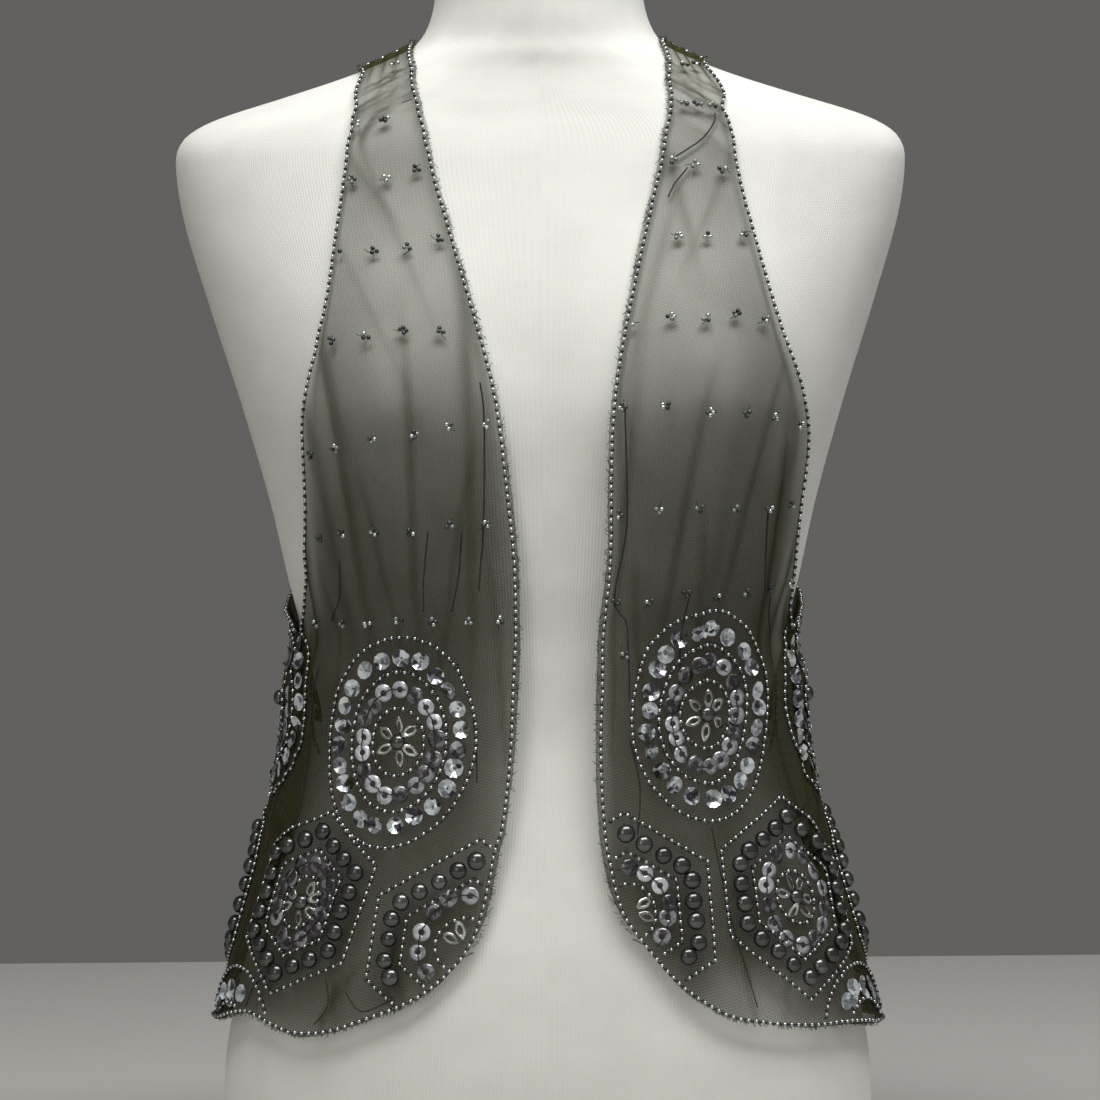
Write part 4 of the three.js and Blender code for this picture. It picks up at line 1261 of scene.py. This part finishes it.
# %% Sew the loose threads
FLOATS = [
    [(-8.9, 453), (-8.8, 433.6), (-10.3, 379), (-12.3, 343)],
    [(-14.6, 375), (-16, 352), (-18.5, 332)],
    [(-44.2, 359.5), (-47, 342), (-52.8, 327)],
    [(-21.5, 375), (-23.5, 351), (-24.8, 332)],
    [(-13, 240), (-13.6, 262), (-14.8, 286), (-18, 304)],
    [(-57, 300), (-59, 260), (-57.5, 214)],
    [(-35, 128), (-31, 118), (-26, 123)],
    [(-40, 134), (-38.5, 120), (-41, 110)],
    [(-63, 116), (-61, 128), (-55, 137)],
    [(12.9, 438), (14.9, 380), (13.4, 338), (16.8, 323), (16.9, 283)],
    [(30.4, 342), (29, 300), (26, 262), (28.3, 250)],
    [(48.3, 385), (50, 360), (52.8, 336)],
    [(25.2, 599), (20, 586), (15.2, 575)],
    [(17.4, 569), (15.8, 560), (15.1, 552.5)],
    [(12.2, 563.7), (12.4, 550), (13.2, 536)],
    [(17, 262), (18.4, 238), (16.8, 212)],
    [(33, 214), (34, 160), (36, 118)],
    [(57, 338), (59, 318), (58, 300)],
    [(120, 320), (124, 300), (121, 262)],
    [(158, 388), (161, 352), (157, 322)],
    [(176, 480), (178, 440), (174, 388), (177, 350)],
    [(203, 386), (200, 350), (204, 318)],
    [(238, 322), (240, 300), (236, 270)],
]
for line in FLOATS:
    smooth_line = curve(line)(np.linspace(0, 1, 8 * len(line)))
    wander = np.cumsum(rng.normal(0, 0.06, smooth_line.shape), axis=0)
    sew_thread(smooth_line + wander * (0.25, 0.5), SURFACE + 0.25, rng.uniform(0.34, 0.5), 2.0)
print("loose threads", len(FLOATS))

# %% Stitch the seams
SEAMS = [
    [(-76.9, 109), (-74.4, 210), (-71.9, 314)],
    [(76.9, 104), (74.4, 210), (71.9, 314)],
    [(-89.8, 633), (-89.8, 639), (-89.8, 645)],
    [(89.8, 636), (89.8, 641), (89.8, 646)],
]
for line in SEAMS:
    stitched = curve(line)(np.linspace(0, 1, 70))
    sew_thread(stitched + rng.normal(0, 0.03, stitched.shape), SURFACE + 0.1, 0.6, -1.0)
print("seams", len(SEAMS))

# %% Join what was sewn, by panel and kind
KINDS = {
    "bead": (BEAD, glass, "seed_beads", False),
    "cup": (CUP, cup_film, "sequins", True),
    "ring": (RING, ring_film, "sequins", False),
    "leaf": (LEAF, silver_line, "sequins", False),
    "pearl": (PEARL, pearl_film, "pearls", False),
    "thread": (THREAD, black_thread, "thread", False),
}
sewn = {name: [] for name in SEWN}
for name, kinds in SEWN.items():
    for kind, parts in kinds.items():
        spots, axes, sizes, tones = (np.concatenate([part[k] for part in parts]) for k in range(4))
        model, material, slot, flat = KINDS[kind]
        piece = copies(f"{name}_{kind}s", model, spots, axes, sizes, tones, material, flat)
        sewn[name].append(piece)
        print(piece.name, len(spots))

# %% Fray the cut edges of the fronts
FIBRES = {"many": 520, "on_hem": 0.45, "long": (1.0, 2.6), "thick": 0.13, "seed": 31}


def frayed(panel):
    """Short loose fibres that stick out past the cut edge of a front and past its hem."""
    loose = np.random.default_rng(FIBRES["seed"])
    share = loose.uniform(0, 1, FIBRES["many"])
    hem = loose.uniform(0, 1, len(share)) < FIBRES["on_hem"]
    u, v = np.where(hem, share, 0.0), np.where(hem, 0.0, share)
    out_u = np.where(hem, 0, -1) / speed(panel, u, v, du=0.02)
    out_v = np.where(hem, -1, 0) / speed(panel, u, v, dv=0.01)
    start = np.where(hem, MARGIN["hem"], MARGIN["front"]) * 0.5 * CUT_SHARE
    end = start + loose.uniform(*FIBRES["long"], len(share))
    aside = loose.normal(0, 0.004, len(share))
    begin = panel.point(u + out_u * start, v + out_v * start, NET_OFF)[0]
    tip, out = panel.point(u + out_u * end + aside * hem, v + out_v * end + aside * ~hem, NET_OFF)
    middle, way = (tip + begin) / 2, tip - begin
    sizes = thread_sizes(np.linalg.norm(way, axis=1), FIBRES["thick"])
    axes = axes_of(out, way)
    return copies(panel.name + "_fray", THREAD, middle, axes, sizes, share, black_thread)


for panel in (left_front, right_front):
    sewn[panel.name].append(frayed(panel))
    print(panel.name, "fibres", FIBRES["many"])

# %% [markdown]
# Each panel is one sheet of net. Its area is worked out, as half that of both faces of the thin sheet.

def area_of(piece):
    areas = np.empty(len(piece.data.polygons))
    piece.data.polygons.foreach_get("area", areas)
    return areas.sum() / 2


for name, piece in nets.items():
    area = area_of(piece)
    area = round(area, 4)

# %% [markdown]
# ## The studio
# A plain pale floor, large soft lights in front and above, and a plain grey surround. The camera is level,
# at about half the form's height, with a very slight roll. Its distance of 2.2 m is assumed.

# %% The floor
select_none()
bpy.ops.mesh.primitive_plane_add(size=2.6, location=(0, 0, -0.0005))
floor = bpy.context.object
floor.name = "studio_floor"
paint, tree, shader = new_material(
    "pale_floor", Roughness=0.9, Base_Color=(0.52, 0.51, 0.49, 1), Specular_IOR_Level=0.1
)
floor.data.materials.append(paint)
print("floor", tuple(floor.dimensions))

# %% Lights and camera
def soft_light(name, spot, target, wide, tall, power, colour=(1, 1, 1)):
    select_none()
    bpy.ops.object.light_add(type="AREA", location=spot)
    lamp = bpy.context.object
    lamp.name = name
    lamp.data.shape, lamp.data.size, lamp.data.size_y = "RECTANGLE", wide, tall
    lamp.data.energy, lamp.data.color = power, colour
    lamp.rotation_euler = (Vector(target) - Vector(spot)).to_track_quat("-Z", "Y").to_euler()
    return lamp


soft_light("key", (0.25, -0.86, 2.3), (0, 0, 0.44), 2.2, 0.7, 57, (1.0, 1.0, 0.98))
soft_light("fill", (-1.1, -2.2, 1.0), (0, 0, 0.36), 0.9, 1.2, 5, (1.0, 0.97, 0.82))

world = bpy.data.worlds.new("studio")
bpy.context.scene.world = world
world.use_nodes = True
set_sockets(world.node_tree.nodes["Background"], {"Color": (0.82, 0.79, 0.76, 1), "Strength": 0.15})

select_none()
bpy.ops.object.camera_add(location=(0, -2.2, 0.364), rotation=(math.radians(90), math.radians(0.47), 0))
camera = bpy.context.object
camera.data.sensor_width, camera.data.lens = 36, 128.6
camera.data.shift_x = 0.0059
bpy.context.scene.camera = camera
bpy.context.scene.view_settings.view_transform = "Standard"
print("camera", tuple(camera.location))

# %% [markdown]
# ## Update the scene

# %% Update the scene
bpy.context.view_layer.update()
